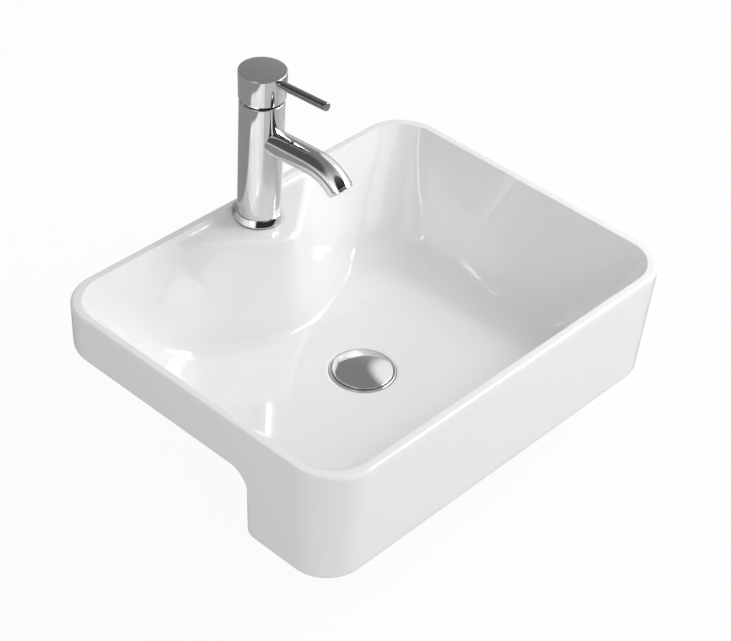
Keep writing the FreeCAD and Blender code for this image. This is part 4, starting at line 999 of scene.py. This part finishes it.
def spiral_tree(material):
    """A round wire or ridge along a spiral."""
    tree, given, out = node_tree("spiral_ridge", [
        ("Turns", "NodeSocketFloat"), ("Radius", "NodeSocketFloat"), ("Height", "NodeSocketFloat"),
        ("Wire Radius", "NodeSocketFloat"), ("Sides", "NodeSocketInt"), ("Steps", "NodeSocketInt"),
    ])
    spiral = tree.nodes.new("GeometryNodeCurveSpiral")
    wire = tree.nodes.new("GeometryNodeCurvePrimitiveCircle")
    sweep = tree.nodes.new("GeometryNodeCurveToMesh")
    real = tree.nodes.new("GeometryNodeRealizeInstances")
    coated = tree.nodes.new("GeometryNodeSetMaterial")
    sweep.inputs["Fill Caps"].default_value = True
    coated.inputs["Material"].default_value = material
    link = tree.links.new
    link(given.outputs["Turns"], spiral.inputs["Rotations"])
    link(given.outputs["Radius"], spiral.inputs["Start Radius"])
    link(given.outputs["Radius"], spiral.inputs["End Radius"])
    link(given.outputs["Height"], spiral.inputs["Height"])
    link(given.outputs["Steps"], spiral.inputs["Resolution"])
    link(given.outputs["Wire Radius"], wire.inputs["Radius"])
    link(given.outputs["Sides"], wire.inputs["Resolution"])
    link(spiral.outputs["Curve"], sweep.inputs["Curve"])
    link(wire.outputs["Curve"], sweep.inputs["Profile Curve"])
    link(sweep.outputs["Mesh"], real.inputs["Geometry"])
    link(real.outputs["Geometry"], coated.inputs["Geometry"])
    link(coated.outputs["Geometry"], out.inputs["Geometry"])
    return tree


spirals = spiral_tree(chrome)
outlet_thread = grown("outlet_thread", spirals, {
    "Turns": 15.0, "Radius": THREAD_RADIUS * MM, "Height": 35.0 * MM,
    "Wire Radius": THREAD_RIDGE * MM, "Sides": 6, "Steps": 72,
}, (0.0, 0.0, FLANGE_TOP - 74.5))
nut_thread = grown("nut_thread", spirals, {
    "Turns": 9.0, "Radius": THREAD_RADIUS * MM, "Height": 20.5 * MM,
    "Wire Radius": THREAD_RIDGE * MM, "Sides": 6, "Steps": 72,
}, (0.0, 0.0, FLANGE_TOP - 33.0))
jets = grown("jet_collars", ring_tree(white_plastic), {
    "Count": 12, "Ring Radius": 5.5 * MM, "Collar Radius": 1.0 * MM, "Wire Radius": 0.25 * MM,
}, TIP, tip_way)
stud_thread = grown("stud_thread", spirals, {
    "Turns": 30.0, "Radius": STUD_RADIUS * MM, "Height": 30.0 * MM,
    "Wire Radius": STUD_RIDGE * MM, "Sides": 5, "Steps": 32,
}, (0.0, TAP_Y - 9.0, LEDGE_TOP - 43.0))
print("threads:", len(outlet_thread.data.polygons) + len(nut_thread.data.polygons), "faces")

# %% [markdown]
# ## What replaces what
# Each dressed piece names the solids it stands for and the body it moves with. Pieces that repeat a
# solid's surface more finely hide it; threads ride beside the solid that they decorate.

# %% Replacements
FIXED = "basin_and_fittings"


def dressed(piece, body, material, slot, *nodes):
    """Names the solids a piece hides and its body, and gives it a finish if it has none. The slot is not
    used.
    """
    if not piece.data.materials:
        piece.data.materials.append(material)
    for polygon in piece.data.polygons:
        polygon.material_index = 0
    if nodes:
        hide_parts(*nodes)
    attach(piece, body)
    return piece


dressed(basin, FIXED, glaze, "glaze", "basin_rim", "basin_bowl", "basin_skirt")
dressed(tap_shell, FIXED, chrome, "chrome", "tap_body")
dressed(foot_ring, FIXED, chrome, "chrome", "tap_base_ring")
dressed(dome_shell, FIXED, chrome, "chrome", "cover_dome")
dressed(hub, "lever", chrome, "chrome", "lever_hub")
# The rod's darker chrome is painted shade.
dressed(lever_rod, "lever", painted_dark_lever_chrome, "chrome", "lever_pin")
dressed(index_dot, "lever", grey_plastic, "grey_plastic", "index_plug")
dressed(lip, FIXED, chrome, "chrome", "aerator_housing")
dressed(tail, FIXED, chrome, "chrome", "waste_body")
dressed(cap_dome, "plug", chrome, "chrome", "plug_cap")
dressed(outlet_thread, FIXED, chrome, "chrome")
dressed(nut_thread, FIXED, chrome, "chrome")
dressed(jets, FIXED, white_plastic, "cartridge_plastic")
dressed(stud_thread, FIXED, steel, "steel")

# %% [markdown]
# ## The floor
# The part stands on a pale floor. To the camera the floor is nearly white, by a glow that only camera
# rays see, and it keeps a little of the part's shadow. The chrome is a mirror, so it shows the room
# more than itself. In the photograph it shows a grey floor, so mirror rays get a grey one. A shader
# can tell these rays apart by the Light Path node, which no painted floor could do.

# %% Ray switches
def network(tree):
    """Short forms for adding and joining shader nodes."""
    def add(kind, **values):
        node = tree.nodes.new("ShaderNode" + kind)
        for name, value in values.items():
            setattr(node, name, value)
        return node
    return add, tree.links.new


def lerp(add, link, factor, first, second):
    """A shader that goes from one to another as a factor goes from 0 to 1."""
    mix = add("MixShader")
    link(factor, mix.inputs["Fac"])
    link(first, mix.inputs[1])
    link(second, mix.inputs[2])
    return mix.outputs["Shader"]


# %% Floor
FLOOR_SIZE = 6.0
FLOOR_GLOW, FLOOR_GREY = 0.93, 0.30
PAPER_DARK, PAPER_LIGHT, PAPER_ROUGHNESS, GRAIN = 0.84, 0.88, 0.9, 3.0
ROUND_THE_FLOOR = ((-1, -1), (1, -1), (1, 1), (-1, 1))
corners = [(x * FLOOR_SIZE, y * FLOOR_SIZE, cad_box[0][2]) for x, y in ROUND_THE_FLOOR]
floor = mesh_piece("studio_floor", corners, [(0, 1, 2, 3)], False)
paper = bpy.data.materials.new("studio_paper")
paper.use_nodes = True
add, link = network(paper.node_tree)
matt = paper.node_tree.nodes["Principled BSDF"]
matt.inputs["Roughness"].default_value = PAPER_ROUGHNESS
grain = add("TexNoise")
grain.inputs["Scale"].default_value = GRAIN
tone = add("MapRange")
tone.inputs["To Min"].default_value = PAPER_DARK
tone.inputs["To Max"].default_value = PAPER_LIGHT
place = add("TexCoord")
link(place.outputs["Object"], grain.inputs["Vector"])
link(grain.outputs["Fac"], tone.inputs["Value"])
link(tone.outputs["Result"], matt.inputs["Base Color"])
glow = add("Emission")
grey = add("Emission")
grey.inputs["Strength"].default_value = FLOOR_GREY
ray = add("LightPath")
share = add("Math", operation="MULTIPLY")
share.inputs[1].default_value = FLOOR_GLOW
link(ray.outputs["Is Camera Ray"], share.inputs[0])
seen = lerp(add, link, share.outputs[0], matt.outputs["BSDF"], glow.outputs["Emission"])
seen = lerp(add, link, ray.outputs["Is Glossy Ray"], seen, grey.outputs["Emission"])
link(seen, paper.node_tree.nodes["Material Output"].inputs["Surface"])
floor.data.materials.append(paper)
print("floor at", round(cad_box[0][2], 4), "m")

# %% [markdown]
# ## The sky and what the chrome mirrors
# An even sky gives the soft light from all sides, and to the camera it is plain white. In mirrors the
# real chrome shows a bright room with a dark part in front of the basin, a grey ceiling towards the
# wall, a darker corner at the back left and a window at the right. Each of these is a soft patch
# round a direction. A patch needs only that direction, two edges and a brightness, and no picture.

# %% Sky
SKY_LIGHT = 0.555
MIRRORED_SKY = 0.95
DARK_ROOM, GREY_CEILING, DARK_CORNER, WINDOW = 0.03, 0.24, 0.09, 1.0


def heading(azimuth, elevation):
    """A direction from degrees turned from +x and degrees above the horizon."""
    t, e = math.radians(azimuth), math.radians(elevation)
    return (math.cos(t) * math.cos(e), math.sin(t) * math.cos(e), math.sin(e))


# Each patch: its middle, how near to it the patch begins, how near it is full, and its brightness.
# Nearness is the cosine of the angle to the middle.
PATCHES = [
    (heading(262, 14), 0.50, 0.60, DARK_ROOM),
    (heading(90, 53), 0.20, 0.85, GREY_CEILING),
    (heading(140, 36), 0.78, 0.94, DARK_CORNER),
    (heading(8, 34), 0.90, 0.955, WINDOW),
]

world = bpy.data.worlds.new("studio_sky")
scene.world = world
world.use_nodes = True
add, link = network(world.node_tree)
sky = world.node_tree.nodes["Background"]
white, mirrored = add("Background"), add("Background")
for light in (sky, white, mirrored):
    light.inputs["Color"].default_value = (1.0, 1.0, 1.0, 1.0)
sky.inputs["Strength"].default_value = SKY_LIGHT
white.inputs["Strength"].default_value = 1.0
looking = add("TexCoord")
level = None
for middle, outer_edge, inner_edge, brightness in PATCHES:
    nearness = add("VectorMath", operation="DOT_PRODUCT")
    nearness.inputs[1].default_value = middle
    patch = add("MapRange", interpolation_type="SMOOTHSTEP")
    patch.inputs["From Min"].default_value = outer_edge
    patch.inputs["From Max"].default_value = inner_edge
    patch.inputs["To Min"].default_value = MIRRORED_SKY
    patch.inputs["To Max"].default_value = brightness
    link(looking.outputs["Generated"], nearness.inputs[0])
    link(nearness.outputs["Value"], patch.inputs["Value"])
    if level is not None:
        link(level, patch.inputs["To Min"])
    level = patch.outputs["Result"]
link(level, mirrored.inputs["Strength"])
ray = add("LightPath")
seen = add("Math", operation="MAXIMUM")
link(ray.outputs["Is Camera Ray"], seen.inputs[0])
link(ray.outputs["Is Transmission Ray"], seen.inputs[1])
lit, bright, plain = (light.outputs["Background"] for light in (sky, mirrored, white))
overhead = lerp(add, link, ray.outputs["Is Glossy Ray"], lit, bright)
overhead = lerp(add, link, seen.outputs[0], overhead, plain)
link(overhead, world.node_tree.nodes["World Output"].inputs["Surface"])
print("patches in the mirrored sky:", len(PATCHES))

# %% [markdown]
# ## Lamps
# In the photograph the bowl's left wall, which faces right, is lighter than its right wall, so the
# main light came from the right. Three soft lamps stand there: a key lamp at the front right, one
# further to the side and a low one. A wide lamp in front lights the front's outside, and a weak one
# at the left opens the shadows. Area lamps give the soft edges that a studio's soft boxes give.

# %% Lamps
def soft_lamp(name, spot, aim, width, tall, power):
    """A rectangular area lamp that looks at a point."""
    lamp = bpy.data.lights.new(name, "AREA")
    lamp.shape = "RECTANGLE"
    lamp.size = width
    lamp.size_y = tall
    lamp.energy = power
    holder = bpy.data.objects.new(name, lamp)
    scene.collection.objects.link(holder)
    holder.location = spot
    holder.rotation_euler = (Vector(aim) - Vector(spot)).to_track_quat("-Z", "Y").to_euler()
    return holder


BASIN_MIDDLE = (0.0, 0.0, 0.0)
# Each lamp: its name, its place, its width and height in metres, and its power in watts.
LAMPS = [
    ("key_lamp", (1.35, -1.2, 1.5), 0.7, 0.7, 18.0),
    ("side_lamp", (1.85, -0.3, 1.5), 0.9, 0.9, 8.5),
    ("low_side_lamp", (1.9, -1.0, 0.85), 0.7, 0.7, 4.0),
    ("front_lamp", (-0.3, -2.2, 1.1), 1.6, 1.0, 6.6),
    ("left_fill_lamp", (-2.2, -0.6, 0.7), 1.2, 0.9, 2.8),
]
for name, spot, width, tall, power in LAMPS:
    soft_lamp(name, spot, BASIN_MIDDLE, width, tall, power)
